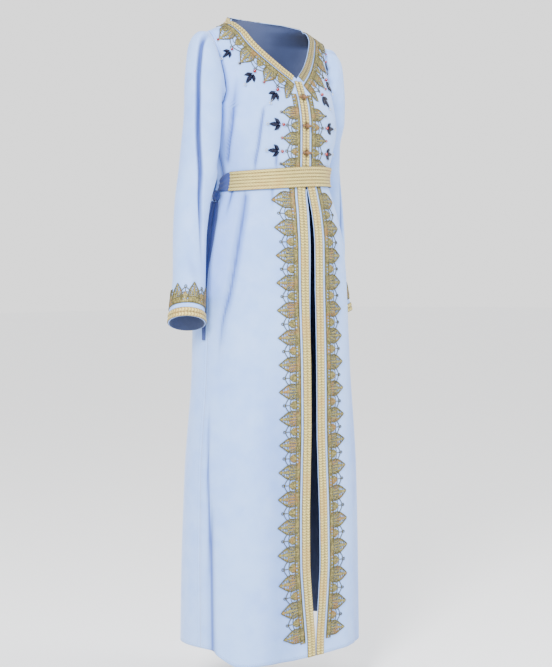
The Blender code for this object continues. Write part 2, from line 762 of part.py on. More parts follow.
class Sleeve:
    """One sleeve as rings between an outer and an inner line, with its deep fold."""

    def __init__(self, side):
        self.side = side
        rings = [(i,) + ring for i, ring in enumerate(SLEEVE_RINGS)]
        self.columns = [smooth_column(rings, k) for k in range(1, 6)]
        self.swing = smooth_column(SLEEVE_SWING, 1 if side < 0 else 2)
        self.fold_angle = smooth_column(SLEEVE_FOLD, 1)
        self.fold_depth = smooth_column(SLEEVE_FOLD, 2)
        self.fold_share = 1.0 if side < 0 else LEFT_FOLD_SHARE

    def armhole(self, turn):
        """The armhole's edge as the panels have it, moved out by its gap."""
        drop = SHOULDER_DROP + (UNDERARM_DROP - SHOULDER_DROP) * (1 - math.cos(turn)) / 2
        line = ARMHOLE_FRONT_LINE if math.sin(turn) >= 0 else ARMHOLE_BACK_LINE
        low = max(i for i in range(len(line) - 1) if -line[i].z <= drop + 1e-6)
        share = (drop + line[low].z) / (line[low].z - line[low + 1].z)
        point = line[low].lerp(line[low + 1], min(1.0, share))
        return Vector((-point.x + ARMHOLE_GAP, point.y, point.z))

    def point(self, turn, ring):
        """Outer face at a turn in radians from the outer side towards the front, and a ring."""
        outer_x, outer_drop, inner_x, inner_drop, deep = [read(ring) for read in self.columns]
        middle = Vector(((outer_x + inner_x) / 2, self.swing(ring), -(outer_drop + inner_drop) / 2))
        half = Vector(((outer_x - inner_x) / 2, 0, (inner_drop - outer_drop) / 2))
        point = middle + half * math.cos(turn) + Vector((0, -deep * math.sin(turn), 0))
        tilt = CUFF_TILT * max(0.0, min(1.0, ring - 10.5))
        point.z += tilt * ((point.x - middle.x) + (middle.y - point.y))
        if ring < 1:
            blend = ring * ring * (3 - 2 * ring)
            point = self.armhole(turn).lerp(point, blend)
        offset = (math.degrees(turn) - self.fold_angle(ring) + 180) % 360 - 180
        depth = self.fold_depth(ring) * self.fold_share * bump(offset, FOLD_SPREAD)
        point -= (point - middle).normalized() * depth
        return Vector((point.x * self.side, point.y, point.z))

    def place(self, turn, ring):
        """Outer face's point and its outward normal."""
        point = self.point(turn, ring)
        low = max(0.0, ring - 0.02)
        high = min(12.0, ring + 0.02)
        along = self.point(turn, high) - self.point(turn, low)
        around = self.point(turn + 0.02, ring) - self.point(turn - 0.02, ring)
        if ring == 0:
            middle_drop = (SHOULDER_DROP + UNDERARM_DROP) / 2
            return point, Vector((0, point.y, point.z + middle_drop)).normalized()
        normal = along.cross(around).normalized()
        outer_x, _, inner_x, _, _ = [read(ring) for read in self.columns]
        middle = Vector((self.side * (outer_x + inner_x) / 2, self.swing(ring), point.z))
        return point, normal if normal.dot(point - middle) > 0 else -normal

    def turns(self, ring):
        """Column angles, gathered at the fold."""
        centre = self.fold_angle(ring)
        even = [math.radians(centre + column) for column in SLEEVE_COLUMNS]
        if ring > 0:
            return even
        drops = [drop for drop in FRONT_ROWS if SHOULDER_DROP <= drop <= UNDERARM_DROP]
        span = UNDERARM_DROP - SHOULDER_DROP
        seam = [math.acos(1 - 2 * (drop - SHOULDER_DROP) / span) for drop in drops]
        seam += [2 * math.pi - turn for turn in seam[-2:0:-1]]
        while len(seam) < len(even):
            gaps = [b - a for a, b in zip(seam, seam[1:] + [seam[0] + 2 * math.pi])]
            widest = gaps.index(max(gaps))
            seam.insert(widest + 1, seam[widest] + gaps[widest] / 2)
        first = min(range(len(seam)), key=lambda k: abs(seam[k] - even[0]))
        return seam[first:] + [turn + 2 * math.pi for turn in seam[:first]]

    def up_from_cuff(self, turn, distance):
        """Ring number at a distance up the cloth from the cuff's edge."""
        ring, gone = 12.0, 0.0
        step = 0.05
        while gone < distance:
            piece = (self.point(turn, ring) - self.point(turn, ring - step)).length
            if gone + piece > distance:
                return ring - step * (distance - gone) / piece
            gone += piece
            ring -= step
        return ring


def make_sleeve(name, sleeve):
    """The sleeve's wall, its cuff band and its cuff lace."""
    grid = [[sleeve.place(turn, ring) for turn in sleeve.turns(ring)] for ring in SLEEVE_ROWS]
    wall("sleeve_" + name, grid, CLOTH, "cloth", ring=True)
    turns = [math.radians(column + sleeve.fold_angle(12)) for column in SLEEVE_COLUMNS]
    upper, lower = [], []
    for turn in turns:
        spots = [sleeve.place(turn, sleeve.up_from_cuff(turn, CUFF_BAND * k / 2 + 0.0002)) for k in range(3)]
        heights = braid_heights(1, LIE_GAP + BAND_THICK)
        upper.append([p + n * h for (p, n), h in zip(spots, heights)])
        lower.append([p + n * LIE_GAP for p, n in (spots[0], spots[-1])])
    plain_backed("cuff_band_" + name, upper, lower, "gold_braid", ring=True)
    stations = [(repeat + row[0],) + row[1:] for repeat in range(CUFF_REPEATS) for row in LACE_REPEAT]
    columns = []
    gaps = set()
    for column, (share, middle, outline, gap) in enumerate(stations):
        turn = 2 * math.pi * (share / CUFF_REPEATS + 0.02)
        reaches = (0.0, SPINE_WIDTH * 0.8, CUFF_LEAF * middle, CUFF_LEAF * outline)
        rings = [sleeve.up_from_cuff(turn, CUFF_LACE_START + reach) for reach in reaches]
        columns.append([sleeve.place(turn, ring) for ring in rings])
        if gap:
            gaps.add((1, column))
    rows = [[column[k] for column in columns] for k in range(4)]
    lifted = [[(p + n * (1.7 * LIE_GAP + LACE_THICK), n) for p, n in row] for row in rows]
    wall("cuff_lace_" + name, lifted, LACE_THICK, "gold_lace", gaps, ring=True)


def belt_drop(angle):
    """Drop of the belt's middle line: it dips at the wearer's right side."""
    across = math.cos(angle)
    return BELT_DROP - 0.008 * across + 0.004 * across * across


def make_belt():
    """The gold front of the belt: six rows of braid over a plain back."""
    upper, lower = [], []
    angles = [BELT_END_ANGLE + (180 - 2 * BELT_END_ANGLE) * i / 22 for i in range(23)]
    rows = 12
    for degrees in angles:
        angle = math.radians(degrees)
        top_row, low_row = [], []
        for k in range(rows + 1):
            drop = belt_drop(angle) + BELT_HEIGHT * (k / rows - 0.5)
            point, normal = body_place(angle, drop, folded=False)
            height = BELT_STAND_OFF + BELT_THICK + (0.0009 if k % 2 else 0.0)
            top_row.append(point + normal * height)
            low_row.append(point + normal * BELT_STAND_OFF)
        upper.append(top_row)
        lower.append(three_columns(low_row))
    plain_backed("belt_gold", upper, lower, "gold_braid")


def make_tie(name, start, end, count, widths):
    """A cloth tie of the belt between two angles in degrees."""
    upper, lower = [], []
    for i in range(count + 1):
        share = i / count
        angle = math.radians(start + (end - start) * share)
        half = (widths[0] + (widths[1] - widths[0]) * share ** 2) / 2
        upper_row, lower_row = [], []
        for k in (-1.0, 0.0, 1.0):
            drop = belt_drop(angle) + half * k + widths[2] * share ** 2
            point, normal = body_place(angle, drop, folded=False)
            upper_row.append(point + normal * (TIE_STAND_OFF + TIE_THICK))
            lower_row.append(point + normal * TIE_STAND_OFF)
        upper.append(upper_row)
        lower.append(lower_row)
    solid_between(name, upper, lower, "cloth")


def make_knot():
    """The knot of the ties behind the right side seam: a lumpy flattened ball."""
    point, normal = body_place(math.radians(KNOT_ANGLE), KNOT_DROP, folded=False)
    mesh = bmesh.new()
    bmesh.ops.create_uvsphere(mesh, u_segments=10, v_segments=6, radius=1.0)
    centre = point + normal * (KNOT_DEPTH / 2 + 0.0008)
    for vert in mesh.verts:
        x, y, z = vert.co
        swell = 1 + 0.10 * math.sin(3 * math.atan2(y, x) + 2 * z)
        vert.co = centre + Vector((x * KNOT_DEPTH / 2, y * KNOT_WIDTH / 2 * swell, z * KNOT_HEIGHT / 2 * swell))
    place("belt_knot", mesh, "cloth")


KNOT_ANGLE = 183.0
KNOT_DROP = 0.402
KNOT_DEPTH = 0.013
KNOT_WIDTH = 0.026
KNOT_HEIGHT = 0.026

# Hanging ends of the ties: drop, angle, half width, distance off the skirt
TAIL_LONG = (
    (0.4160, 182.6, 0.0090, 0.0026),
    (0.450, 182.2, 0.0140, 0.0014),
    (0.500, 182.4, 0.0150, 0.0004),
    (0.560, 183.2, 0.0110, 0.0002),
    (0.620, 183.0, 0.0070, 0.0002),
    (0.680, 182.6, 0.0060, 0.0008),
    (0.730, 182.4, 0.0050, 0.0014),
)
TAIL_SHORT = (
    (0.4160, 184.8, 0.0065, 0.0062),
    (0.450, 184.8, 0.0110, 0.0058),
    (0.490, 184.6, 0.0125, 0.0040),
    (0.540, 185.2, 0.0130, 0.0032),
    (0.590, 186.0, 0.0105, 0.0030),
)


def make_tail(name, rows):
    """A flat cloth end hanging beside the skirt."""
    grid = []
    for drop, degrees, half, away in rows:
        row = []
        for k in (-1.0, 0.0, 1.0):
            point, normal = body_place(math.radians(degrees), drop, folded=False)
            along = Vector((normal.y, -normal.x, 0)).normalized()
            bow = 0.002 * (1 - k * k)
            row.append((point + along * half * k + normal * (away + 0.0015 + bow), normal))
        grid.append(row)
    wall(name, grid, 0.0012, "cloth")


def make_buttons():
    """Ball knots on the meeting braids, each inside its cord loop."""
    bands = panel_tree(("chest_band_right", "chest_band_left"))
    for number, drop in enumerate(BUTTON_DROPS, start=1):
        point, normal = body_place(math.radians(90), drop)
        base = LIE_GAP + BAND_THICK + BAND_RIDGE
        ball = bmesh.new()
        bmesh.ops.create_uvsphere(ball, u_segments=8, v_segments=6, radius=BUTTON_RADIUS)
        centre = point + normal * (base + BUTTON_RADIUS)
        for _ in range(8):
            centre -= normal * (bands.find_nearest(centre)[3] - BUTTON_RADIUS - SEWN_GAP)
        bmesh.ops.translate(ball, verts=ball.verts, vec=centre)
        place("button_%d" % number, ball, "amber_knot")
        down = Vector((0, 0, -1))
        down = (down - normal * down.dot(normal)).normalized()
        side = normal.cross(down)
        middle = point + normal * (base + 0.0004 + LOOP_CORD)
        loop = bmesh.new()
        rings = []
        for i in range(10):
            turn = 2 * math.pi * i / 10
            outward = side * math.cos(turn) + down * math.sin(turn) * 1.15
            seat = middle + outward * LOOP_RADIUS
            ring = []
            for k in range(4):
                roll = math.pi / 2 * k + math.pi / 4
                shift = outward.normalized() * math.cos(roll) + normal * math.sin(roll)
                ring.append(loop.verts.new(seat + shift * LOOP_CORD))
            rings.append(ring)
        for ring, following in zip(rings, rings[1:] + rings[:1]):
            for k in range(4):
                near = (ring[k], ring[(k + 1) % 4])
                far = (following[(k + 1) % 4], following[k])
                loop.faces.new(near + far)
        place("button_loop_%d" % number, loop, "gold_braid")


# Stone clusters on each side: which edge, distance along it, distance from it, share of full size
CLUSTERS = (
    ("neck", 0.1470, 0.0775, 0.75),
    ("neck", 0.0900, 0.0840, 0.95),
    ("neck", 0.0330, 0.0860, 0.95),
    ("front", 0.1160, 0.0840, 0.95),
    ("front", 0.1760, 0.0840, 0.95),
)
# Outline of one cluster from its round stone outwards: along, across
CLUSTER_OUTLINE = (
    (-0.020, 0.000), (-0.018, 0.0035), (-0.013, 0.0040), (-0.006, 0.0045), (0.004, 0.0105), (0.009, 0.0095),
    (0.006, 0.0030), (0.014, 0.0028), (0.020, 0.000), (0.014, -0.0028), (0.006, -0.0030), (0.009, -0.0095),
    (0.004, -0.0105), (-0.006, -0.0045), (-0.013, -0.0040), (-0.018, -0.0035),
)
CLUSTER_HEIGHT = 0.0022
CLUSTER_CROWN = 0.0034


def make_cluster(name, tree, edge, distance, reach, size, mirror):
    """One cluster: a flat foot on the cloth and a crown along its middle."""
    start = edge.at(distance)
    _, normal = nearest_place(start)
    direction = edge.heading(distance).cross(normal)
    if direction.dot(RIGHTWARDS) < 0:
        direction = -direction
    centre, normal, heading = walk(start, direction, reach)
    side = heading.cross(normal)
    mesh = bmesh.new()
    flip = Vector((-1 if mirror else 1, 1, 1))

    places = [nearest_place(centre + (heading * a + side * c) * size) for a, c in CLUSTER_OUTLINE]
    middle = nearest_place(centre)
    rows = [[place_here, middle] for place_here in places + places[:1]]
    lift = max(max(row) for row in clear_lifts(tree, rows))

    def seat(spot, height):
        return mesh.verts.new((spot[0] + spot[1] * height) * flip)

    foot = [seat(spot, lift) for spot in places]
    rim = [seat(spot, lift + CLUSTER_HEIGHT) for spot in places]
    low = seat(middle, lift)
    high = seat(middle, lift + CLUSTER_CROWN)
    count = len(foot)
    for k in range(count):
        following = (k + 1) % count
        mesh.faces.new((foot[k], foot[following], rim[following], rim[k]))
        mesh.faces.new((rim[k], rim[following], high))
        mesh.faces.new((foot[following], foot[k], low))
    place(name, mesh, "navy_stone")


def make_underlap():
    """Narrow strip of cloth behind the right front's edge, below the belt."""
    grid = []
    for drop in (0.386, 0.42, 0.46, 0.52, 0.60, 0.70, 0.80, 0.85):
        row = []
        edge = front_gap_at(drop)
        for reach in (edge + UNDERLAP_HIDDEN, edge, edge - underlap_at(drop)):
            turn = math.pi / 2 + math.atan2(reach, front_depth_at(drop))
            point, normal = body_place(turn, drop, folded=False)
            row.append((point - normal * (CLOTH + LIE_GAP), normal))
        grid.append(row)
    wall("underlap", grid, 0.0010, "cloth")


def main():
    for item in list(bpy.data.objects):
        bpy.data.objects.remove(item, do_unlink=True)
    both_sides("front", front_grid(), lambda name, grid: wall(name, grid, CLOTH, "cloth"))
    wall("back", back_grid(), CLOTH, "cloth")
    tree = panel_tree(("front_right", "back"))
    neck = neck_edge()
    front = front_edge()
    shoulder = neck.lengths[26]

    neck_steps = steps_between(0.0095, 0.122, 0.019) + steps_between(0.134, shoulder - 0.0008, 0.010)
    make_band("neck_band", tree, band_rows(neck, neck_steps, NECK_BAND, 1), 1)
    chest_drops = [NECK_DROP + 0.008] + [drop for drop in FRONT_ROWS if NECK_DROP + 0.01 < drop < 0.37]
    chest_steps = [front.reach_drop(drop) for drop in chest_drops]
    make_band("chest_band", tree, band_rows(front, chest_steps, CHEST_BAND, 1), 1)
    skirt_drops = [0.372] + [drop for drop in FRONT_ROWS if 0.38 < drop < HEM_DROP] + [HEM_DROP - 0.0004]
    skirt_steps = [front.reach_drop(drop) for drop in skirt_drops]
    make_band("skirt_band", tree, band_rows(front, skirt_steps, SKIRT_BAND, 2), 2)
    back_steps = steps_between(shoulder + 0.0010, shoulder + 0.03, 0.015)
    back_steps += steps_between(shoulder + 0.045, neck.lengths[-1] - 0.0008, 0.016)
    make_band("back_neck_band", tree, band_rows(neck, back_steps, NECK_BAND, 1), 1)

    neck_end = shoulder - 0.001
    make_lace("neck_lace", tree, *lace_rows(neck, 0.017, neck_end, 0.062, NECK_PITCH, NECK_LEAF, NECK_LACE_START))
    start, first, end = [front.reach_drop(drop) for drop in (0.168, 0.213, 0.352)]
    chest = lace_rows(front, start, end, first, CHEST_PITCH, CHEST_LEAF, CHEST_LACE_START)
    make_lace("chest_lace", tree, *chest)
    start, first = front.reach_drop(0.386), front.reach_drop(0.416)
    end = first + SKIRT_PITCH * (SKIRT_LEAVES - 0.6)
    skirt = lace_rows(front, start, end, first, SKIRT_PITCH, SKIRT_LEAF, SKIRT_LACE_START)
    make_lace("skirt_lace", tree, *skirt)

    make_sleeve("right", Sleeve(-1))
    make_sleeve("left", Sleeve(1))
    make_belt()
    make_tie("belt_tie_right", BELT_END_ANGLE + 0.35, 184.0, 4, (0.044, 0.030, 0.006))
    make_tie("belt_tie_back", 180 - BELT_END_ANGLE - 0.35, -169.5, 26, (0.044, 0.030, 0.006))
    make_knot()
    make_tail("tie_tail_long", TAIL_LONG)
    make_tail("tie_tail_short", TAIL_SHORT)
    make_buttons()
    make_underlap()
    edges = {"neck": neck, "front": front}
    for number, (which, distance, reach, size) in enumerate(CLUSTERS, start=1):
        make_cluster("stones_right_%d" % number, tree, edges[which], distance, reach, size, False)
        make_cluster("stones_left_%d" % number, tree, edges[which], distance, reach, size, True)


main()
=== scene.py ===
"""Open-front kaftan: draped cloth, gold braid, cut lace, belt, ties, knots and stones.

Metres, +Z up. The front faces -Y and the wearer's right side is -X. A drop is a distance down from
the origin at the shoulders. An angle round the body is 0 at the wearer's left, 90 at centre front,
180 at the wearer's right and 270 at centre back. Every piece lies on the same surface functions.
"""
import math

import bmesh
import bpy
from mathutils import Matrix, Vector


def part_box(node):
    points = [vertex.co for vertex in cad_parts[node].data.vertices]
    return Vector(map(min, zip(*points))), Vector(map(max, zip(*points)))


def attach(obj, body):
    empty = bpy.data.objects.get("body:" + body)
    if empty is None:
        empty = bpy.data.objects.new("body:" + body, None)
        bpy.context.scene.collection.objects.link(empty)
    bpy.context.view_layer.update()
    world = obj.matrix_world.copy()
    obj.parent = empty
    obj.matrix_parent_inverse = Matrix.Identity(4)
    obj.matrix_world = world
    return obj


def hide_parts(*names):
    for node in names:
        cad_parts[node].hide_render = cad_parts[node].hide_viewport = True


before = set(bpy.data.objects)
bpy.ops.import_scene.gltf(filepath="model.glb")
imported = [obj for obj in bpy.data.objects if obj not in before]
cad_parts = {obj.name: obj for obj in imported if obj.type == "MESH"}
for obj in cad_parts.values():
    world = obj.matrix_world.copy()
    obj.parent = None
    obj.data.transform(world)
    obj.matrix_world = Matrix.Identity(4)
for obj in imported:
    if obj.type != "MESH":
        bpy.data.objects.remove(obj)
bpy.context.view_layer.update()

bl_info = {
    "name": "Open-Front Kaftan",
    "version": (1, 0, 0),
    "blender": (4, 5, 0),
    "location": "3D View > Sidebar > Kaftan",
    "description": "Builds the cloth, braid, lace, belt and stones of an open-front kaftan",
    "category": "Add Mesh",
}

# Driving sizes of the garment
SEAM_GAP = 0.0004
ARMHOLE_GAP = 0.0006
HEM_DROP = 1.467
HEM_RISE = 0.038
HEM_TURNS = (64.0, 86.0)
SHOULDER_DROP = 0.030
UNDERARM_DROP = 0.205
NECK_DROP = 0.130
BELT_DROP = 0.358
BELT_HEIGHT = 0.048
BELT_STAND_OFF = 0.0041
BELT_END_ANGLE = 170.5
TIE_STAND_OFF = 0.0019
NECK_BAND = 0.018
CHEST_BAND = 0.0115
SKIRT_BAND = 0.026
CUFF_BAND = 0.020
NECK_LACE_START = 0.022
CHEST_LACE_START = 0.018
SKIRT_LACE_START = 0.033
CUFF_LACE_START = 0.030
NECK_PITCH = 0.0590
SKIRT_PITCH = 0.0620
NECK_LEAF = 0.053
CHEST_LEAF = 0.052
SKIRT_LEAF = 0.063
CUFF_LEAF = 0.047
SPINE_WIDTH = 0.015
CUFF_REPEATS = 6
SKIRT_LEAVES = 17
BUTTON_DROPS = (0.176, 0.241, 0.303)
# Ball knots of one button: shift sideways, shift backwards, radius
BUTTON_KNOTS = ((0.0, 0.0, 0.0056), (-0.0104, 0.0021, 0.0033), (0.0104, 0.0021, 0.0033))
LOOP_RADIUS = 0.0068
LOOP_CORD = 0.00055
LOOP_TWISTS = 9
UNDERLAP_HIDDEN = 0.012
NORMAL_STEP = 0.0008
WALK_STEP = 0.004
CUFF_ROUND = 0.25
CUFF_STEPS = 72
NECK_STEPS = 26
ROW_STEP = 0.0085
LEAF_ROOT = 0.06
LEAF_ROWS = 34
SCALLOP = 0.0074
BRAID_STEP = 0.0012
CORD_COLUMNS = 7
BEAD_PITCH = 0.0056

# Sections of the body: drop, half width, front depth, back depth, squareness
SECTIONS = (
    (-0.022, 0.105, 0.0200, 0.0620, 2.2),
    (-0.010, 0.112, 0.0210, 0.0640, 2.2),
    (0.000, 0.120, 0.0230, 0.0660, 2.2),
    (0.010, 0.143, 0.0310, 0.0680, 2.2),
    (0.021, 0.167, 0.0390, 0.0700, 2.2),
    (0.030, 0.186, 0.0440, 0.0720, 2.2),
    (0.050, 0.186, 0.0530, 0.0760, 2.2),
    (0.100, 0.178, 0.0790, 0.0850, 2.3),
    (0.150, 0.174, 0.1025, 0.0980, 2.4),
    (0.200, 0.173, 0.1170, 0.1050, 2.6),
    (0.240, 0.174, 0.1215, 0.1070, 2.7),
    (0.300, 0.160, 0.1205, 0.1020, 2.5),
    (0.360, 0.146, 0.1190, 0.0950, 2.3),
    (0.400, 0.156, 0.1240, 0.1030, 2.4),
    (0.450, 0.172, 0.1320, 0.1150, 2.5),
    (0.520, 0.188, 0.1370, 0.1250, 2.6),
    (0.600, 0.198, 0.1370, 0.1260, 2.6),
    (0.800, 0.208, 0.1400, 0.1255, 2.6),
    (1.050, 0.231, 0.1385, 0.1375, 2.6),
    (1.250, 0.236, 0.1380, 0.1520, 2.6),
    (1.467, 0.238, 0.1370, 0.1630, 2.6),
)

# The main crease line of each front: drop, angle on the right side, depth, half width
FRONT_CREASE = (
    (0.130, 160.0, 0.0000, 0.012),
    (0.200, 162.5, 0.0050, 0.011),
    (0.245, 164.5, 0.0115, 0.011),
    (0.300, 171.0, 0.0105, 0.010),
    (0.325, 173.0, 0.0030, 0.010),
    (0.336, 172.0, 0.0000, 0.011),
    (0.385, 156.5, 0.0000, 0.013),
    (0.410, 155.5, 0.0060, 0.014),
    (0.500, 157.5, 0.0080, 0.016),
    (0.610, 162.0, 0.0070, 0.016),
    (0.700, 168.0, 0.0040, 0.015),
    (0.800, 170.0, 0.0000, 0.015),
    (1.050, 171.0, 0.0000, 0.015),
    (1.200, 172.0, 0.0060, 0.015),
    (1.467, 171.5, 0.0070, 0.016),
)

# Soft folds of the back skirt: centre angle, top drop, depth at the hem, half width at the hem
BACK_FOLDS = (
    (214.0, 0.44, 0.011, 0.034),
    (252.0, 0.41, 0.017, 0.042),
    (288.0, 0.42, 0.015, 0.042),
    (326.0, 0.45, 0.011, 0.034),
)

# Small creases of the worn cloth. Each row: drop, angle, depth inwards, half width
CREASES = (
    ((0.196, 138.0, 0.0000, 0.008), (0.225, 139.6, 0.0030, 0.007), (0.290, 143.5, 0.0040, 0.007),
     (0.330, 147.0, 0.0022, 0.008), (0.352, 148.0, 0.0000, 0.010)),
    ((0.290, 127.0, 0.0000, 0.006), (0.325, 127.5, 0.0024, 0.006), (0.345, 128.0, 0.0000, 0.006)),
    ((0.384, 168.0, 0.0030, 0.008), (0.410, 169.0, 0.0024, 0.009), (0.450, 170.0, 0.0000, 0.010)),
    ((0.384, 132.0, 0.0018, 0.007), (0.405, 132.0, 0.0012, 0.008), (0.440, 132.5, 0.0000, 0.009)),
    ((0.560, 146.0, 0.0000, 0.020), (0.800, 147.0, -0.0026, 0.024), (1.150, 148.0, -0.0034, 0.028),
     (1.467, 149.0, -0.0030, 0.030)),
    ((0.700, 130.0, 0.0000, 0.022), (1.000, 129.5, 0.0020, 0.026), (1.467, 129.0, 0.0032, 0.030)),
    ((0.860, 176.0, 0.0000, 0.010), (1.000, 174.5, 0.0022, 0.010), (1.120, 173.5, 0.0030, 0.010),
     (1.300, 173.0, 0.0010, 0.010), (1.400, 173.0, 0.0000, 0.010)),
    ((0.215, 36.0, 0.0000, 0.008), (0.250, 34.0, 0.0032, 0.008), (0.315, 30.5, 0.0026, 0.008),
     (0.345, 30.0, 0.0000, 0.009)),
    ((0.384, 38.0, 0.0022, 0.008), (0.430, 37.0, 0.0018, 0.010), (0.520, 36.0, 0.0000, 0.012)),
    ((0.620, 33.0, 0.0000, 0.022), (0.950, 32.0, 0.0026, 0.026), (1.467, 31.0, 0.0040, 0.030)),
    ((0.700, 52.0, 0.0000, 0.022), (1.050, 51.0, -0.0024, 0.026), (1.467, 50.0, -0.0030, 0.030)),
    ((0.140, 236.0, 0.0000, 0.012), (0.200, 240.0, 0.0030, 0.012), (0.300, 246.0, 0.0036, 0.010),
     (0.340, 248.0, 0.0000, 0.010)),
    ((0.150, 306.0, 0.0000, 0.012), (0.220, 301.0, 0.0026, 0.012), (0.310, 295.0, 0.0034, 0.010),
     (0.340, 293.0, 0.0000, 0.010)),
    ((0.384, 270.0, 0.0030, 0.010), (0.470, 270.0, 0.0022, 0.014), (0.640, 270.0, 0.0000, 0.020)),
    ((0.384, 232.0, 0.0028, 0.009), (0.450, 233.0, 0.0018, 0.012), (0.560, 234.0, 0.0000, 0.016)),
    ((0.384, 309.0, 0.0024, 0.009), (0.440, 308.0, 0.0018, 0.012), (0.580, 307.0, 0.0000, 0.016)),
)

# Neckline: drop and half width at the front, half width and drop at the back
NECK_FRONT = (
    (0.000, 0.1200),
    (0.010, 0.1150),
    (0.021, 0.1080),
    (0.050, 0.0890),
    (0.096, 0.0440),
    (0.130, 0.0006),
)
NECK_BACK = (
    (0.000, -0.0220),
    (0.050, -0.0214),
    (0.085, -0.0185),
    (0.105, -0.0125),
    (0.116, -0.0050),
    (0.120, 0.0000),
)

# Armhole: drop, distance of its edge in front of and behind the shoulder line
ARMHOLE = (
    (0.030, 0.000, 0.000),
    (0.040, 0.008, 0.010),
    (0.070, 0.017, 0.022),
    (0.100, 0.023, 0.031),
    (0.135, 0.031, 0.039),
    (0.165, 0.035, 0.042),
    (0.188, 0.028, 0.034),
    (0.205, 0.000, 0.000),
)

# Half of the gap between the two front edges: drop, half gap
FRONT_GAP = (
    (0.130, 0.0006),
    (0.370, 0.0006),
    (0.383, 0.0040),
    (0.410, 0.0070),
    (0.500, 0.0110),
    (0.650, 0.0110),
    (0.800, 0.0100),
    (0.920, 0.0100),
    (1.030, 0.0130),
    (1.150, 0.0170),
    (1.240, 0.0175),
    (1.330, 0.0115),
    (1.380, 0.0065),
    (1.430, 0.0020),
    (1.467, 0.0010),
)

# Underlap behind the right front edge: drop, width that shows past that edge
UNDERLAP = ((0.386, 0.008), (0.450, 0.010), (0.550, 0.009), (0.680, 0.005), (0.800, 0.002), (0.850, 0.0005))

# Sleeve rings: outer x, outer drop, inner x, inner drop, half depth
SLEEVE_RINGS = (
    (0.1880, 0.030, 0.1740, 0.200, 0.0400),
    (0.2180, 0.033, 0.1770, 0.206, 0.0440),
    (0.2400, 0.051, 0.1780, 0.212, 0.0450),
    (0.2500, 0.090, 0.1790, 0.218, 0.0450),
    (0.2570, 0.140, 0.1800, 0.225, 0.0450),
    (0.2600, 0.200, 0.1810, 0.240, 0.0450),
    (0.2660, 0.270, 0.1820, 0.285, 0.0450),
    (0.2720, 0.340, 0.1840, 0.345, 0.0450),
    (0.2850, 0.420, 0.2040, 0.420, 0.0410),
    (0.2910, 0.500, 0.2175, 0.500, 0.0390),
    (0.2930, 0.580, 0.2200, 0.580, 0.0375),
    (0.3030, 0.655, 0.2250, 0.665, 0.0405),
    (0.3075, 0.690, 0.2235, 0.690, 0.0420),
)
# How far each ring's centre lies behind the shoulder line: ring, right sleeve, left sleeve
SLEEVE_SWING = (
    (0, 0.000, 0.000),
    (2, -0.008, 0.006),
    (5, -0.012, 0.015),
    (6, -0.008, 0.036),
    (8, -0.001, 0.043),
    (10, 0.000, 0.041),
    (12, 0.000, 0.037),
)
# Deep fold of each sleeve: ring, angle from the outer side to the front, depth
SLEEVE_FOLD = (
    (0, 26.0, 0.000),
    (1, 27.0, 0.003),
    (2, 28.0, 0.012),
    (3, 28.0, 0.016),
    (5, 29.0, 0.017),
    (6, 38.0, 0.016),
    (7, 52.0, 0.014),
    (8, 72.0, 0.010),
    (9, 90.0, 0.005),
    (10, 98.0, 0.000),
    (12, 98.0, 0.000),
)
# Small creases of each sleeve: ring, ring reach, turn, turn reach, depth, and how far it slants
SLEEVE_CREASES = (
    (5.6, 0.7, 200.0, 46.0, 0.0040, 0.7),
    (6.6, 0.6, 150.0, 52.0, 0.0044, -0.6),
    (7.4, 0.6, 235.0, 48.0, 0.0040, 0.6),
    (8.3, 0.7, 165.0, 44.0, 0.0030, 0.5),
    (9.3, 0.6, 210.0, 40.0, 0.0022, -0.5),
    (6.1, 0.8, 300.0, 34.0, 0.0030, -0.8),
    (3.4, 0.8, 250.0, 34.0, 0.0036, 0.8),
    (9.9, 0.7, 60.0, 36.0, 0.0018, 0.6),
)
FOLD_SPREAD = 12.0
LEFT_FOLD_SHARE = 0.7
CUFF_TILT = 0.30
SLEEVE_COLUMNS = (0, 6, 12, 23, 39, 59, 81, 104, 127, 150, 172, 194, 216, 239, 262, 285, 306, 325, 348, 354)

FRONT_ROWS = (
    0.002, 0.007, 0.013, 0.021, 0.030, 0.040, 0.055, 0.075, 0.100, 0.130, 0.165, 0.188, 0.205, 0.245, 0.280,
    0.310, 0.336, 0.360, 0.384, 0.412, 0.450, 0.495, 0.550, 0.650, 0.800, 0.920, 1.030, 1.150, 1.240, 1.350,
    1.467,
)
BACK_ROWS = (
    -0.022, -0.018, -0.010, 0.0005, 0.007, 0.013, 0.021, 0.030, 0.040, 0.055, 0.075, 0.100, 0.130, 0.165,
    0.188, 0.205, 0.245, 0.300, 0.330, 0.348, 0.366, 0.384, 0.412, 0.460, 0.550, 0.700, 0.880, 1.060, 1.260,
    1.467,
)
FRONT_COLUMNS = 66
BACK_COLUMNS = 120

# Half width of a lace leaf: share of its reach, half width as a share of the leaf's reach
LEAF_OUTLINE = (
    (0.00, 0.235),
    (0.22, 0.272),
    (0.40, 0.282),
    (0.55, 0.258),
    (0.70, 0.192),
    (0.85, 0.092),
    (1.00, 0.012),
)

# Stone groups on each side: which edge, distance along it, distance from it, share of full size
CLUSTERS = (
    ("neck", 0.1470, 0.0775, 0.75),
    ("neck", 0.0900, 0.0840, 0.95),
    ("neck", 0.0330, 0.0860, 0.95),
    ("front", 0.1160, 0.0840, 0.95),
    ("front", 0.1760, 0.0840, 0.95),
)

CLUSTER_SIZE = 1.22

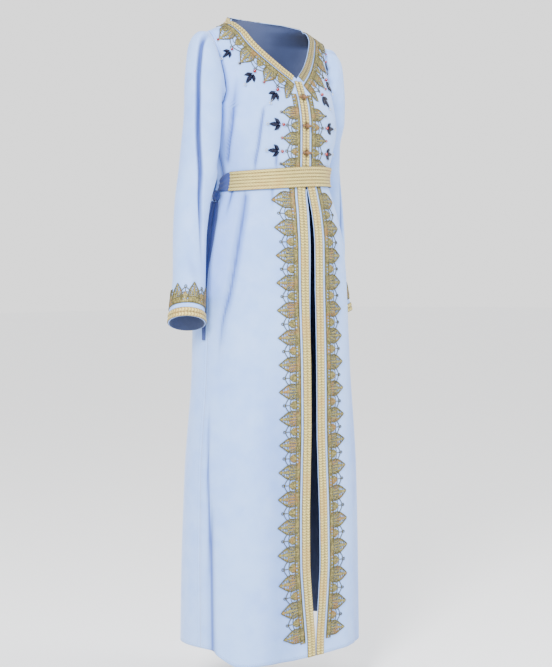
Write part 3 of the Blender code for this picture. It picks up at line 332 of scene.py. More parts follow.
# Hanging ends of the ties: drop, angle, half width, distance off the skirt
TAIL_LONG = (
    (0.4160, 182.6, 0.0090, 0.0026),
    (0.450, 182.2, 0.0140, 0.0014),
    (0.500, 182.4, 0.0150, 0.0004),
    (0.560, 183.2, 0.0110, 0.0002),
    (0.620, 183.0, 0.0070, 0.0002),
    (0.680, 182.6, 0.0060, 0.0008),
    (0.730, 182.4, 0.0050, 0.0014),
)
TAIL_SHORT = (
    (0.4160, 184.8, 0.0065, 0.0062),
    (0.450, 184.8, 0.0110, 0.0058),
    (0.490, 184.6, 0.0125, 0.0040),
    (0.540, 185.2, 0.0130, 0.0032),
    (0.590, 186.0, 0.0105, 0.0030),
)
KNOT_ANGLE = 183.0
KNOT_DROP = 0.402


def display(red, green, blue):
    """Linear colour of a display colour from 0 to 255."""
    def linear(value):
        share = value / 255.0
        return share / 12.92 if share <= 0.04045 else ((share + 0.055) / 1.055) ** 2.4
    return (linear(red), linear(green), linear(blue))


# Settings a user may change

def tint(name, description, red, green, blue):
    """A colour setting."""
    return bpy.props.FloatVectorProperty(
        name=name, description=description, subtype="COLOR", size=3, default=display(red, green, blue))


def amount(name, description, value, unit="LENGTH"):
    """A setting that is one number, in metres unless the unit says otherwise."""
    return bpy.props.FloatProperty(name=name, description=description, unit=unit, default=value)


class ClothSettings(bpy.types.PropertyGroup):
    colour: tint("Cloth", "Colour of the cloth", 146, 182, 240)
    shade: tint("Shade", "Cooler tone that the cloth drifts to", 128, 166, 234)
    # Folds: painted shade, the deeper blue the cloth's colour takes in its creases and beside the armhole seams
    fold: tint("Folds", "Deeper tone of the folds", 34, 62, 142)
    # Inner face: the same cloth painted in shade, a dark blue for the inside of the sleeves and the slit
    inner_shade: tint("Inner shade", "Colour of the cloth's inner face", 54, 66, 102)
    # Ties: the garment's cloth painted in shade, a deeper blue for the belt's cloth ends, tails and knot
    tie: tint("Ties", "Colour of the belt's cloth ends", 52, 68, 124)
    thickness: amount("Thickness", "Thickness of the cloth wall", 0.0015)
    thread: amount("Thread", "Spacing of the weave", 0.0011)


class BraidSettings(bpy.types.PropertyGroup):
    # Crest and hollow: painted highlight on the plaits' crests and painted shade between them
    crest: tint("Crest", "Gold on the crest of the plaits", 226, 208, 122)
    hollow_shade: tint("Hollow", "Gold between the plaits", 74, 56, 18)
    pitch: amount("Plait", "Length of one plait", 0.0066)
    thickness: amount("Thickness", "Thickness of the braid's body", 0.0012)


class LaceSettings(bpy.types.PropertyGroup):
    # The lace mixes these two threads by painted highlight where the thread stands up and by random specks and knots
    light: tint("Light thread", "Lighter thread of the lace", 146, 136, 76)
    dark: tint("Dark thread", "Darker thread of the lace", 32, 30, 12)
    thread: amount("Thread radius", "Radius of the arches' thread", 0.0010)


class StoneSettings(bpy.types.PropertyGroup):
    navy: tint("Navy", "Colour of the long stones", 4, 6, 30)
    red: tint("Red", "Colour of the round stones", 112, 16, 14)


class StageSettings(bpy.types.PropertyGroup):
    floor_drop: amount("Floor", "How far the floor lies below the shoulders", 1.575)
    key: amount("Key light", "Power of the key light", 330.0, "NONE")
    fill: amount("Fill light", "Power of the fill light", 112.0, "NONE")
    sky: amount("Surround", "Brightness of the surround", 1.7, "NONE")


# Reading tables

def smooth_column(rows, column):
    """A function that reads one column of a table smoothly, without overshooting its rows."""
    keys = [row[0] for row in rows]
    values = [row[column] for row in rows]
    rises = [(values[i + 1] - values[i]) / (keys[i + 1] - keys[i]) for i in range(len(keys) - 1)]
    slopes = [rises[0]]
    for before, after in zip(rises, rises[1:]):
        slopes.append(0.0 if before * after <= 0 else 2 * before * after / (before + after))
    slopes.append(rises[-1])
    last = len(keys) - 1

    def read(key):
        if key <= keys[0]:
            return values[0]
        if key >= keys[last]:
            return values[last]
        low = 0
        while keys[low + 1] <= key:
            low += 1
        span = keys[low + 1] - keys[low]
        t = (key - keys[low]) / span
        start = values[low] + span * slopes[low] * t * (1 - t) ** 2
        swing = (values[low + 1] - values[low]) * t * t * (3 - 2 * t)
        return start + swing - span * slopes[low + 1] * t * t * (1 - t)
    return read


half_width_at = smooth_column(SECTIONS, 1)
front_depth_at = smooth_column(SECTIONS, 2)
back_depth_at = smooth_column(SECTIONS, 3)
squareness_at = smooth_column(SECTIONS, 4)
crease_angle_at = smooth_column(FRONT_CREASE, 1)
crease_depth_at = smooth_column(FRONT_CREASE, 2)
crease_width_at = smooth_column(FRONT_CREASE, 3)
neck_front_at = smooth_column(NECK_FRONT, 1)
neck_back_at = smooth_column(NECK_BACK, 1)
armhole_front_at = smooth_column(ARMHOLE, 1)
armhole_back_at = smooth_column(ARMHOLE, 2)
front_gap_at = smooth_column(FRONT_GAP, 1)
underlap_at = smooth_column(UNDERLAP, 1)
leaf_half_at = smooth_column(LEAF_OUTLINE, 1)
small_creases = [
    (rows[0][0], rows[-1][0], smooth_column(rows, 1), smooth_column(rows, 2), smooth_column(rows, 3))
    for rows in CREASES
]


def ease(share):
    """A share from 0 to 1 that starts and ends softly."""
    share = min(1.0, max(0.0, share))
    return share * share * (3 - 2 * share)


def bump(offset, half_width):
    """A rounded trough: 1 in its middle, 0 from half_width on."""
    share = abs(offset) / half_width
    return 0.5 + 0.5 * math.cos(math.pi * share) if share < 1 else 0.0


def ripple(value, period):
    """1 at every whole period, 0 halfway between."""
    return 0.5 + 0.5 * math.cos(2 * math.pi * value / period)


def steps_between(start, end, longest):
    """Even steps from start to end, none longer than longest."""
    count = max(1, math.ceil((end - start) / longest))
    return [start + (end - start) * i / count for i in range(count + 1)]


def finer(rows, longest):
    """The rows with even steps between them, none longer than longest."""
    result = [rows[0]]
    for low, high in zip(rows, rows[1:]):
        result += steps_between(low, high, longest)[1:]
    return result


# The body's surface

def fold_depth(angle, drop, radius):
    """How far the folds pull the cloth in at this place."""
    degrees = math.degrees(angle) % 360
    depth = 0.0
    if crease_depth_at(drop) > 0 and 0 <= degrees <= 215:
        for centre, share in ((crease_angle_at(drop), 1.0), (180 - crease_angle_at(drop), 0.8)):
            offset = math.radians(degrees - centre) * radius
            depth += share * crease_depth_at(drop) * bump(offset, crease_width_at(drop))
    if degrees > 180:
        for centre, top, deep, wide in BACK_FOLDS:
            if drop > top:
                share = (drop - top) / (HEM_DROP - top)
                offset = math.radians(degrees - centre) * radius
                depth += deep * share ** 0.6 * bump(offset, wide * (0.5 + 0.5 * share))
    for top, low, angle_at, depth_at, width_at in small_creases:
        if top < drop and (drop < low or low >= HEM_DROP - 0.001):
            offset = math.radians(degrees - angle_at(drop)) * radius
            if abs(offset) < width_at(drop):
                depth += depth_at(drop) * bump(offset, width_at(drop))
    return depth


def body_point(angle, drop, folded=True):
    """The cloth's outer face at an angle in radians and a drop."""
    depth = front_depth_at(drop) if math.sin(angle) > 0 else back_depth_at(drop)
    power = squareness_at(drop)
    across = (abs(math.cos(angle)) / half_width_at(drop)) ** power
    along = (abs(math.sin(angle)) / depth) ** power
    radius = (across + along) ** (-1 / power)
    if folded:
        radius -= fold_depth(angle, drop, radius)
    return Vector((radius * math.cos(angle), -radius * math.sin(angle), -drop))


def body_place(angle, drop, folded=True):
    """The outer face's point and its outward normal."""
    point = body_point(angle, drop, folded)
    turn = NORMAL_STEP / max(0.03, point.xy.length)
    round_body = body_point(angle + turn, drop, folded) - body_point(angle - turn, drop, folded)
    down = body_point(angle, drop + NORMAL_STEP, folded) - body_point(angle, drop - NORMAL_STEP, folded)
    normal = round_body.cross(down).normalized()
    outward = Vector((math.cos(angle), -math.sin(angle), 0.6 if drop < SHOULDER_DROP else 0))
    return point, normal if normal.dot(outward) > 0 else -normal


def nearest_place(point, folded=True):
    """The outer face straight out from the body's axis through a point close to it."""
    return body_place(math.atan2(-point.y, point.x), -point.z, folded)


def find_angle(test, low, high):
    """The angle in degrees between low and high where the test turns from True to False."""
    for _ in range(30):
        middle = (low + high) / 2
        if test(math.radians(middle)):
            low = middle
        else:
            high = middle
    return (low + high) / 2


def front_edge_angle(drop):
    """Angle of the right front's free edge: the neckline, then the edge beside centre front."""
    reach = neck_front_at(drop) if drop < NECK_DROP else front_gap_at(drop)
    return find_angle(lambda angle: -body_point(angle, drop).x < reach, 90.0, 179.9)


def front_side_angle(drop):
    """Angle of the right front's other side: shoulder seam, armhole, side seam."""
    reach = armhole_front_at(drop) if SHOULDER_DROP < drop < UNDERARM_DROP else 0.0
    reach += SEAM_GAP / 2
    return find_angle(lambda angle: -body_point(angle, drop).y > reach, 91.0, 180.0)


def back_side_angle(drop):
    """Angle of the back's right side: neckline, shoulder seam, armhole, side seam."""
    if drop < 0:
        return find_angle(lambda angle: neck_back_at(-body_point(angle, drop).x) > drop, 180.0, 270.0)
    reach = armhole_back_at(drop) if SHOULDER_DROP < drop < UNDERARM_DROP else 0.0
    reach += SEAM_GAP / 2
    return find_angle(lambda angle: body_point(angle, drop).y < reach, 180.0, 269.0)


def even_angles(drop, start, end, count):
    """Angles in degrees at even steps over the cloth between two angles."""
    parts = 60
    angles = [start + (end - start) * i / parts for i in range(parts + 1)]
    points = [body_point(math.radians(a), drop, False) for a in angles]
    lengths = [0.0]
    for before, after in zip(points, points[1:]):
        lengths.append(lengths[-1] + (after - before).length)
    result = []
    low = 0
    for k in range(count + 1):
        target = lengths[-1] * k / count
        while low < parts - 1 and lengths[low + 1] < target:
            low += 1
        part = (target - lengths[low]) / max(1e-9, lengths[low + 1] - lengths[low])
        result.append(angles[low] + (angles[low + 1] - angles[low]) * min(1.0, part))
    return result


def hem_rise(degrees, drop):
    """How far a row is lifted: all of it at the hem's sides and back, none from 0.14 m above."""
    share = ease((abs(degrees - 90) - HEM_TURNS[0]) / (HEM_TURNS[1] - HEM_TURNS[0]))
    return HEM_RISE * share * min(1.0, max(0.0, (drop - 1.33) / (HEM_DROP - 1.33)))


# Grids of cloth and the pieces laid on them

def grid_lengths(places):
    """Distances in metres along each row and down each column, for the cloth's own UV map."""
    across = []
    for row in places:
        line = [0.0]
        for (before, _), (after, _) in zip(row, row[1:]):
            line.append(line[-1] + (after - before).length)
        across.append([value - line[-1] / 2 for value in line])
    down = [[0.0] * len(places[0])]
    for before, after in zip(places, places[1:]):
        down.append([d + (q[0] - p[0]).length for d, p, q in zip(down[-1], before, after)])
    return [[(u, v) for u, v in zip(us, vs)] for us, vs in zip(across, down)]


def lay_grid(mesh, places, uvs, worked=None, closed=False, folds=None):
    """Add a grid, move it to the places and face it outwards. Worked values go to the crest attribute, and the
    painted shade of the folds to the fold attribute.
    """
    rows, columns = len(places), len(places[0])
    uv_layer = mesh.loops.layers.uv.verify()
    crest = mesh.verts.layers.float.get("crest") or mesh.verts.layers.float.new("crest")
    fold = mesh.verts.layers.float.get("fold") or mesh.verts.layers.float.new("fold")
    made = bmesh.ops.create_grid(mesh, x_segments=columns - 1, y_segments=rows - 1, size=0.5)["verts"]
    cells = {}
    for vert in made:
        i = round((0.5 - vert.co.y) * (rows - 1))
        j = round((vert.co.x + 0.5) * (columns - 1))
        cells[vert] = (i, j)
    faces = list({face for vert in made for face in vert.link_faces})
    for face in faces:
        for loop in face.loops:
            i, j = cells[loop.vert]
            loop[uv_layer].uv = uvs[i][j]
    for vert, (i, j) in cells.items():
        vert.co = places[i][j][0]
        if worked:
            vert[crest] = worked[i][j]
        # Fold values are painted shade for the cloth's colour
        if folds:
            vert[fold] = folds[i][j]
    facing = 0.0
    for face in faces[:: max(1, len(faces) // 60)]:
        face.normal_update()
        i, j = cells[face.verts[0]]
        facing += face.normal.dot(places[i][j][1])
    if facing < 0:
        bmesh.ops.reverse_faces(mesh, faces=faces)
    if closed:
        bmesh.ops.remove_doubles(mesh, verts=made, dist=1e-5)
    return faces


def lay_worked(mesh, rows, closed=False):
    """Add a grid given as rows of place, UV and worked value."""
    return lay_grid(mesh, *[[[cell[k] for cell in row] for row in rows] for k in range(3)], closed)


def link_item(name, data):
    """A new object in the scene."""
    item = bpy.data.objects.new(name, data)
    bpy.context.scene.collection.objects.link(item)
    return item


def link_mesh(name, mesh, material):
    """A bmesh made an object."""
    data = bpy.data.meshes.new(name)
    mesh.to_mesh(data)
    mesh.free()
    data.materials.append(material)
    return link_item(name, data)


def finish_piece(name, mesh, material, nodes, wall=0.0, smooth=True, inner_shade=None):
    """Turn a bmesh into a piece that rides on the part and stands for its nodes."""
    piece = link_mesh(name, mesh, material)
    if smooth:
        piece.data.shade_smooth()
    if wall:
        thicken = piece.modifiers.new("Wall", "SOLIDIFY")
        thicken.thickness = wall
        thicken.offset = -1.0
        # The inner shell takes a second material: the cloth's inner face painted in shade
        if inner_shade:
            piece.data.materials.append(inner_shade)
            thicken.material_offset = 1
    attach(piece, "root")
    if nodes:
        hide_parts(*nodes)
    return piece


def finish_curve(name, lines, radius, resolution, material, nodes, closed=False):
    """Round cords along lines of points, each line with its share of the radius, as one piece."""
    curve = bpy.data.curves.new(name, "CURVE")
    curve.dimensions = "3D"
    curve.bevel_depth = radius
    curve.bevel_resolution = resolution
    curve.use_fill_caps = True
    for points, thickness in lines:
        spline = curve.splines.new("POLY")
        spline.points.add(len(points) - 1)
        spline.use_cyclic_u = closed
        for spot, point in zip(spline.points, points):
            spot.co = (*point, 1.0)
            spot.radius = thickness
    line = link_item(name + "_line", curve)
    bpy.context.view_layer.update()
    data = bpy.data.meshes.new_from_object(line.evaluated_get(bpy.context.evaluated_depsgraph_get()))
    bpy.data.objects.remove(line)
    mesh = bmesh.new()
    mesh.from_mesh(data)
    return finish_piece(name, mesh, material, nodes)


class Edge:
    """A line on the cloth that trim follows, read by the distance along it."""

    def __init__(self, points):
        self.points = points
        self.lengths = [0.0]
        for before, after in zip(points, points[1:]):
            self.lengths.append(self.lengths[-1] + (after - before).length)

    def reach_drop(self, drop):
        """Distance along the line at which it comes to a drop, for a line that runs down."""
        low = max(i for i in range(len(self.points) - 1) if -self.points[i].z <= drop + 1e-9)
        start, end = -self.points[low].z, -self.points[low + 1].z
        share = (drop - start) / (end - start)
        return self.lengths[low] + share * (self.lengths[low + 1] - self.lengths[low])

    def at(self, distance):
        distance = min(max(distance, 0.0), self.lengths[-1])
        low = max(i for i in range(len(self.lengths) - 1) if self.lengths[i] <= distance)
        share = (distance - self.lengths[low]) / (self.lengths[low + 1] - self.lengths[low])
        return self.points[low].lerp(self.points[low + 1], share)

    def heading(self, distance):
        return (self.at(distance + 0.004) - self.at(distance - 0.004)).normalized()


def neck_edge():
    """Right half of the neckline, from its lowest point up to the shoulder and on to centre back."""
    points = []
    for i in range(NECK_STEPS + 1):
        drop = NECK_DROP * (1 - i / NECK_STEPS)
        points.append(body_point(math.radians(front_edge_angle(min(drop, NECK_DROP - 1e-5))), drop))
    for i in range(1, 21):
        reach = NECK_BACK[-1][0] * (1 - i / 20)
        drop = neck_back_at(reach)
        angle = find_angle(lambda turn: -body_point(turn, drop).x > reach, 180.0, 270.0)
        points.append(body_point(math.radians(angle), drop))
    return Edge(points)


def front_edge():
    """Right free edge from the neckline's lowest point down to the hem."""
    points = []
    for i in range(100):
        drop = NECK_DROP + (HEM_DROP - NECK_DROP) * i / 99
        points.append(body_point(math.radians(front_edge_angle(max(drop, NECK_DROP))), drop))
    return Edge(points)


RIGHTWARDS = Vector((-1.0, 0.0, -0.4))


class Runner:
    """Cloth beside an edge, read by the distance along the edge and the reach away from it."""

    def __init__(self, edge, start, end, reach):
        self.start = start
        self.stations = steps_between(start, end, 0.005)
        self.reaches = steps_between(0.0, reach, WALK_STEP)
        self.rows = [self.across(edge, station) for station in self.stations]

    def across(self, edge, distance):
        """Places at every reach, walked out over the cloth square to the edge."""
        point, normal = nearest_place(edge.at(distance))
        direction = edge.heading(distance).cross(normal)
        heading = direction if direction.dot(RIGHTWARDS) > 0 else -direction
        row = [(point, normal)]
        gone = 0.0
        for reach in self.reaches[1:]:
            point, normal = nearest_place(point + heading * (reach - gone))
            heading = (heading - normal * heading.dot(normal)).normalized()
            gone = reach
            row.append((point, normal))
        return row

    def row_number(self, distance):
        """The row at a distance along the edge, with its fraction."""
        return (distance - self.start) / (self.stations[1] - self.stations[0])

    def spot(self, distance, reach, height):
        """A point above the cloth between the walked places, and the cloth's normal there."""
        across = self.row_number(distance)
        i = min(max(int(across), 0), len(self.rows) - 2)
        out = reach / (self.reaches[1] - self.reaches[0])
        j = min(max(int(out), 0), len(self.reaches) - 2)
        u = min(max(across - i, 0.0), 1.0)
        v = out - j
        near, far = self.rows[i], self.rows[i + 1]
        point = near[j][0].lerp(near[j + 1][0], v).lerp(far[j][0].lerp(far[j + 1][0], v), u)
        normal = near[j][1].lerp(near[j + 1][1], v).lerp(far[j][1].lerp(far[j + 1][1], v), u)
        normal = normal.normalized()
        return point + normal * height, normal


class CuffRunner(Runner):
    """A sleeve's cloth above its cuff, read by the distance round it and the reach up from it."""

    def __init__(self, sleeve, reach):
        self.reaches = steps_between(0.0, reach, WALK_STEP)
        self.rows = []
        for k in range(CUFF_STEPS + 1):
            turn = 2 * math.pi * k / CUFF_STEPS
            rings = [sleeve.up_from_cuff(turn, value + 0.0002) for value in self.reaches]
            self.rows.append([sleeve.place(turn, ring) for ring in rings])

    def row_number(self, distance):
        return (distance / CUFF_ROUND % 1.0) * CUFF_STEPS


class Flipped(Runner):
    """The same places on the wearer's left side, seated on that side's own folds."""

    def __init__(self, runner):
        self.start, self.stations, self.reaches = runner.start, runner.stations, runner.reaches
        flip = Vector((-1, 1, 1))
        self.rows = [[nearest_place(point * flip) for point, _ in row] for row in runner.rows]


# The sleeves' surface

def armhole_line(rows, side_angle):
    """The armhole's edge of one panel, as straight runs between its rows."""
    drops = [drop for drop in rows if SHOULDER_DROP <= drop <= UNDERARM_DROP]
    return [body_point(math.radians(side_angle(drop)), drop) for drop in drops]


class Sleeve:
    """One sleeve as rings between an outer and an inner line, with its folds."""

    def __init__(self, side):
        self.side = side
        rings = [(i,) + ring for i, ring in enumerate(SLEEVE_RINGS)]
        self.columns = [smooth_column(rings, k) for k in range(1, 6)]
        self.swing = smooth_column(SLEEVE_SWING, 1 if side < 0 else 2)
        self.fold_angle = smooth_column(SLEEVE_FOLD, 1)
        self.fold_depth = smooth_column(SLEEVE_FOLD, 2)
        self.fold_share = 1.0 if side < 0 else LEFT_FOLD_SHARE
        self.front_line = armhole_line(FRONT_ROWS, front_side_angle)
        self.back_line = armhole_line(BACK_ROWS, back_side_angle)

    def armhole(self, turn):
        """The armhole's edge as the panels have it, moved out by its gap."""
        drop = SHOULDER_DROP + (UNDERARM_DROP - SHOULDER_DROP) * (1 - math.cos(turn)) / 2
        line = self.front_line if math.sin(turn) >= 0 else self.back_line
        low = max(i for i in range(len(line) - 1) if -line[i].z <= drop + 1e-6)
        share = (drop + line[low].z) / (line[low].z - line[low + 1].z)
        point = line[low].lerp(line[low + 1], min(1.0, share))
        return Vector((-point.x + ARMHOLE_GAP, point.y, point.z))

    def point(self, turn, ring):
        """Outer face at a turn in radians from the outer side towards the front, and a ring."""
        outer_x, outer_drop, inner_x, inner_drop, deep = [read(ring) for read in self.columns]
        middle = Vector(((outer_x + inner_x) / 2, self.swing(ring), -(outer_drop + inner_drop) / 2))
        half = Vector(((outer_x - inner_x) / 2, 0, (inner_drop - outer_drop) / 2))
        point = middle + half * math.cos(turn) + Vector((0, -deep * math.sin(turn), 0))
        tilt = CUFF_TILT * max(0.0, min(1.0, ring - 10.5))
        point.z += tilt * ((point.x - middle.x) + (middle.y - point.y))
        if ring < 1:
            point = self.armhole(turn).lerp(point, ring * ring * (3 - 2 * ring))
        degrees = math.degrees(turn)
        offset = (degrees - self.fold_angle(ring) + 180) % 360 - 180
        depth = self.fold_depth(ring) * self.fold_share * bump(offset, FOLD_SPREAD)
        for at, spread, centre, wide, deep_in, slant in SLEEVE_CREASES:
            away = (degrees - centre + 180) % 360 - 180
            if abs(away) < wide:
                depth += deep_in * bump(ring - at - slant * away / wide * 0.8, spread) * bump(away, wide)
        point -= (point - middle).normalized() * depth
        return Vector((point.x * self.side, point.y, point.z))

    def shade(self, turn, ring):
        """How much painted shade a place gets from lying deep in the sleeve's folds, from 0 to 1."""
        degrees = math.degrees(turn)
        offset = (degrees - self.fold_angle(ring) + 180) % 360 - 180
        share = self.fold_depth(ring) / 0.010 * bump(offset, FOLD_SPREAD)
        for at, spread, centre, wide, deep_in, slant in SLEEVE_CREASES:
            away = (degrees - centre + 180) % 360 - 180
            if abs(away) < wide:
                near = bump(ring - at - slant * away / wide * 0.8, spread * 0.6) * bump(away, wide)
                share = max(share, near * deep_in / 0.009)
        return min(0.9, share)

    def place(self, turn, ring):
        """Outer face's point and its outward normal."""
        point = self.point(turn, ring)
        low = max(0.0, ring - 0.02)
        high = min(12.0, ring + 0.02)
        along = self.point(turn, high) - self.point(turn, low)
        around = self.point(turn + 0.02, ring) - self.point(turn - 0.02, ring)
        normal = along.cross(around).normalized()
        outer_x, _, inner_x, _, _ = [read(ring) for read in self.columns]
        middle = Vector((self.side * (outer_x + inner_x) / 2, self.swing(ring), point.z))
        return point, normal if normal.dot(point - middle) > 0 else -normal

    def up_from_cuff(self, turn, distance):
        """Ring number at a distance up the cloth from the cuff's edge."""
        ring, gone = 12.0, 0.0
        step = 0.05
        while gone < distance:
            piece = (self.point(turn, ring) - self.point(turn, ring - step)).length
            if gone + piece > distance:
                return ring - step * (distance - gone) / piece
            gone += piece
            ring -= step
        return ring


# Finishes

class Value:
    """A node's output. Arithmetic on it adds Math nodes."""

    def __init__(self, paint, socket):
        self.paint, self.socket = paint, socket

    def __add__(self, other):
        return self.paint.math("ADD", self, other)

    __radd__ = __add__

    def __sub__(self, other):
        return self.paint.math("SUBTRACT", self, other)

    def __rsub__(self, other):
        return self.paint.math("SUBTRACT", other, self)

    def __mul__(self, other):
        return self.paint.math("MULTIPLY", self, other)

    __rmul__ = __mul__


class Paint:
    """The nodes of one material."""

    def __init__(self, name, **constants):
        self.material = bpy.data.materials.new(name)
        self.material.use_nodes = True
        self.tree = self.material.node_tree
        self.shader = self.tree.nodes["Principled BSDF"]
        for socket, value in constants.items():
            self.shader.inputs[socket.replace("_", " ")].default_value = value

    def feed(self, socket, value):
        if isinstance(value, Value):
            self.tree.links.new(value.socket, socket)
        else:
            socket.default_value = value

    def node(self, kind, output, settings, sockets):
        """Add a node, set its settings, feed its sockets and give one output."""
        made = self.tree.nodes.new("ShaderNode" + kind)
        for key, value in settings.items():
            setattr(made, key, value)
        for key, value in sockets.items():
            self.feed(made.inputs[key], value)
        return Value(self, made.outputs[output])

    def math(self, operation, *values):
        return self.node("Math", 0, {"operation": operation}, dict(enumerate(values)))

    def mix(self, share, one, other):
        return self.node("Mix", 2, {"data_type": "RGBA", "clamp_factor": True}, {0: share, 6: one, 7: other})

    def place(self):
        return self.node("TexCoord", "Object", {}, {})

    def uv(self):
        split = self.tree.nodes.new("ShaderNodeSeparateXYZ")
        self.feed(split.inputs[0], self.node("UVMap", 0, {}, {}))
        return Value(self, split.outputs[0]), Value(self, split.outputs[1])

    def attribute(self, name):
        return self.node("Attribute", "Fac", {"attribute_name": name}, {})

    def noise(self, scale, detail=2.0, vector=None):
        sockets = {"Vector": vector or self.place(), "Scale": scale, "Detail": detail}
        return self.node("TexNoise", 0, {}, sockets)

    def wave(self, value, period):
        """0 to 1 and back over each period."""
        return self.math("SINE", value * (2 * math.pi / period)) * 0.5 + 0.5

    def between(self, value, low, high):
        """0 below low, 1 above high, soft between."""
        return self.node("MapRange", 0, {"interpolation_type": "SMOOTHSTEP"}, {0: value, 1: low, 2: high})

    def colour(self, value):
        self.feed(self.shader.inputs["Base Color"], value)

    def roughness(self, value):
        self.feed(self.shader.inputs["Roughness"], value)

    def relief(self, height, distance, strength=1.0):
        bump_normal = self.node("Bump", 0, {}, {"Height": height, "Distance": distance, "Strength": strength})
        self.feed(self.shader.inputs["Normal"], bump_normal)


def opaque(colour):
    return tuple(colour) + (1.0,)


def cloth_finish(name, light, dark, settings, seams):
    """Fine plain weave with a soft sheen and slow drifts of tone; with seams, also stitched seams and painted shade
    in the folds.
    """
    paint = Paint(name, Sheen_Weight=0.22, Sheen_Roughness=0.45, Specular_IOR_Level=0.28)
    across, down = paint.uv()
    warp = paint.wave(across, settings.thread)
    weft = paint.wave(down, settings.thread * 1.15)
    slub = paint.noise(26.0, 3.0)
    drift = paint.noise(3.2, 2.0)
    tone = paint.between(drift * 0.6 + slub * 0.4, 0.36, 0.66)
    colour = paint.mix(tone, opaque(light), opaque(dark))
    weave = warp * weft
    colour = paint.mix(weave * 0.10, colour, opaque([c * 0.82 for c in dark]))
    height = weave * 0.5 + slub * 0.9
    if seams:
        # Painted shade: the fold colour mixed in where the fold attribute marks creases and the armhole seams
        colour = paint.mix(paint.attribute("fold"), colour, opaque(settings.fold))
        edge = paint.attribute("crest")
        line = paint.math("SUBTRACT", 1.0, paint.between(paint.math("ABSOLUTE", edge - 0.0065), 0.0003, 0.0011))
        stitch = line * paint.between(paint.wave(across + down, 0.0052), 0.35, 0.6)
        colour = paint.mix(stitch * 0.45, colour, opaque([c * 0.62 for c in dark]))
        height = height - line * 1.6 + stitch * 1.0
    paint.colour(colour)
    paint.roughness(paint.between(slub, 0.2, 0.8) * 0.10 + 0.56)
    paint.relief(height, 0.00022, 0.8)
    return paint.material


def braid_finish(name, light, dark):
    """Metallic thread plaits with fine twisted strands, with painted highlight on their crests, painted shade in the
    hollows and painted glints.
    """
    paint = Paint(name, Metallic=0.30, Specular_IOR_Level=0.5, Sheen_Weight=0.10)
    across, down = paint.uv()
    crest = paint.attribute("crest")
    strand = paint.wave(down + across * 0.8, 0.0011)
    speck = paint.noise(900.0, 1.0)
    drift = paint.noise(16.0, 2.0)
    painted_glints = paint.between(paint.noise(330.0, 1.0), 0.56, 0.70)
    # Painted highlight on the crests, painted shade in the hollows and painted glints, with random specks of tone
    share = crest * 0.95 + strand * 0.12 + speck * 0.20 + painted_glints * 0.25 - 0.14
    colour = paint.mix(share, opaque(dark), opaque(light))
    warm = opaque(display(170, 128, 62))
    colour = paint.mix(paint.between(drift, 0.45, 0.70) * 0.35, colour, warm)
    paint.colour(colour)
    paint.roughness(0.55 - crest * 0.18)
    paint.relief(strand * 0.6 + speck * 0.5, 0.00030, 0.8)
    return paint.material


def lace_finish(settings):
    """Dull metallic thread, dense and knotted, with painted highlight where the thread stands up."""
    paint = Paint("cut_lace", Metallic=0.22, Specular_IOR_Level=0.4)
    crest = paint.attribute("crest")
    speck = paint.noise(620.0, 2.0)
    drift = paint.noise(36.0, 2.0)
    knots = paint.between(paint.noise(240.0, 2.0), 0.42, 0.60)
    # Painted highlight on the raised thread, with random specks and knots of lighter thread
    share = crest * 0.45 + paint.between(speck, 0.35, 0.65) * 0.35 + knots * 0.40 - 0.16
    colour = paint.mix(share, opaque(settings.dark), opaque(settings.light))
    rust = opaque(display(140, 92, 44))
    colour = paint.mix(paint.between(drift, 0.50, 0.66) * 0.45, colour, rust)
    paint.colour(colour)
    paint.roughness(0.60 - crest * 0.15)
    paint.relief(speck, 0.00035, 0.9)
    return paint.material


def thread_finish(settings):
    """The arches' darker twisted thread."""
    paint = Paint("lace_thread", Metallic=0.15)
    speck = paint.noise(800.0, 1.0)
    light = [d + (c - d) * 0.35 for c, d in zip(settings.light, settings.dark)]
    paint.colour(paint.mix(speck, opaque([c * 0.75 for c in settings.dark]), opaque(light)))
    paint.roughness(speck * 0.2 + 0.45)
    paint.relief(speck, 0.0002, 0.7)
    return paint.material


def stone_finish(name, colour, clearness=0.0):
    """A polished faceted stone with a faint cloud inside."""
    paint = Paint(name, Coat_Weight=0.08, Coat_Roughness=0.05, Specular_IOR_Level=0.25)
    cloud = paint.noise(260.0, 2.0)
    pale = opaque([min(1.0, c * 2.2 + 0.02 + clearness) for c in colour])
    paint.colour(paint.mix(paint.between(cloud, 0.45, 0.75) * 0.5, opaque(colour), pale))
    paint.roughness(cloud * 0.06 + 0.08)
    return paint.material


def knot_finish():
    """Amber silk cord of the ball knots, with painted highlight on the raised cord and painted shade between."""
    paint = Paint("amber_cord", Metallic=0.12, Sheen_Weight=0.2)
    crest = paint.attribute("crest")
    speck = paint.noise(700.0, 2.0)
    # Painted highlight on the raised cord and painted shade between the cords
    share = crest * 0.7 + speck * 0.3
    paint.colour(paint.mix(share, opaque(display(34, 20, 4)), opaque(display(126, 82, 24))))
    paint.roughness(0.5 - crest * 0.15)
    paint.relief(speck, 0.0003, 0.8)
    return paint.material


# The cloth

def edge_distances(places, sides, ends):
    """Distance from each place to the nearest sewn edge: sides first and last, ends top and bottom."""
    lengths = grid_lengths(places)
    result = []
    for i, row in enumerate(lengths):
        line = []
        for j, (across, down) in enumerate(row):
            near = [0.03]
            if sides[0]:
                near.append(across - row[0][0])
            if sides[1]:
                near.append(row[-1][0] - across)
            if ends[0]:
                near.append(down)
            if ends[1]:
                near.append(lengths[-1][j][1] - down)
            line.append(min(near))
        result.append(line)
    return result


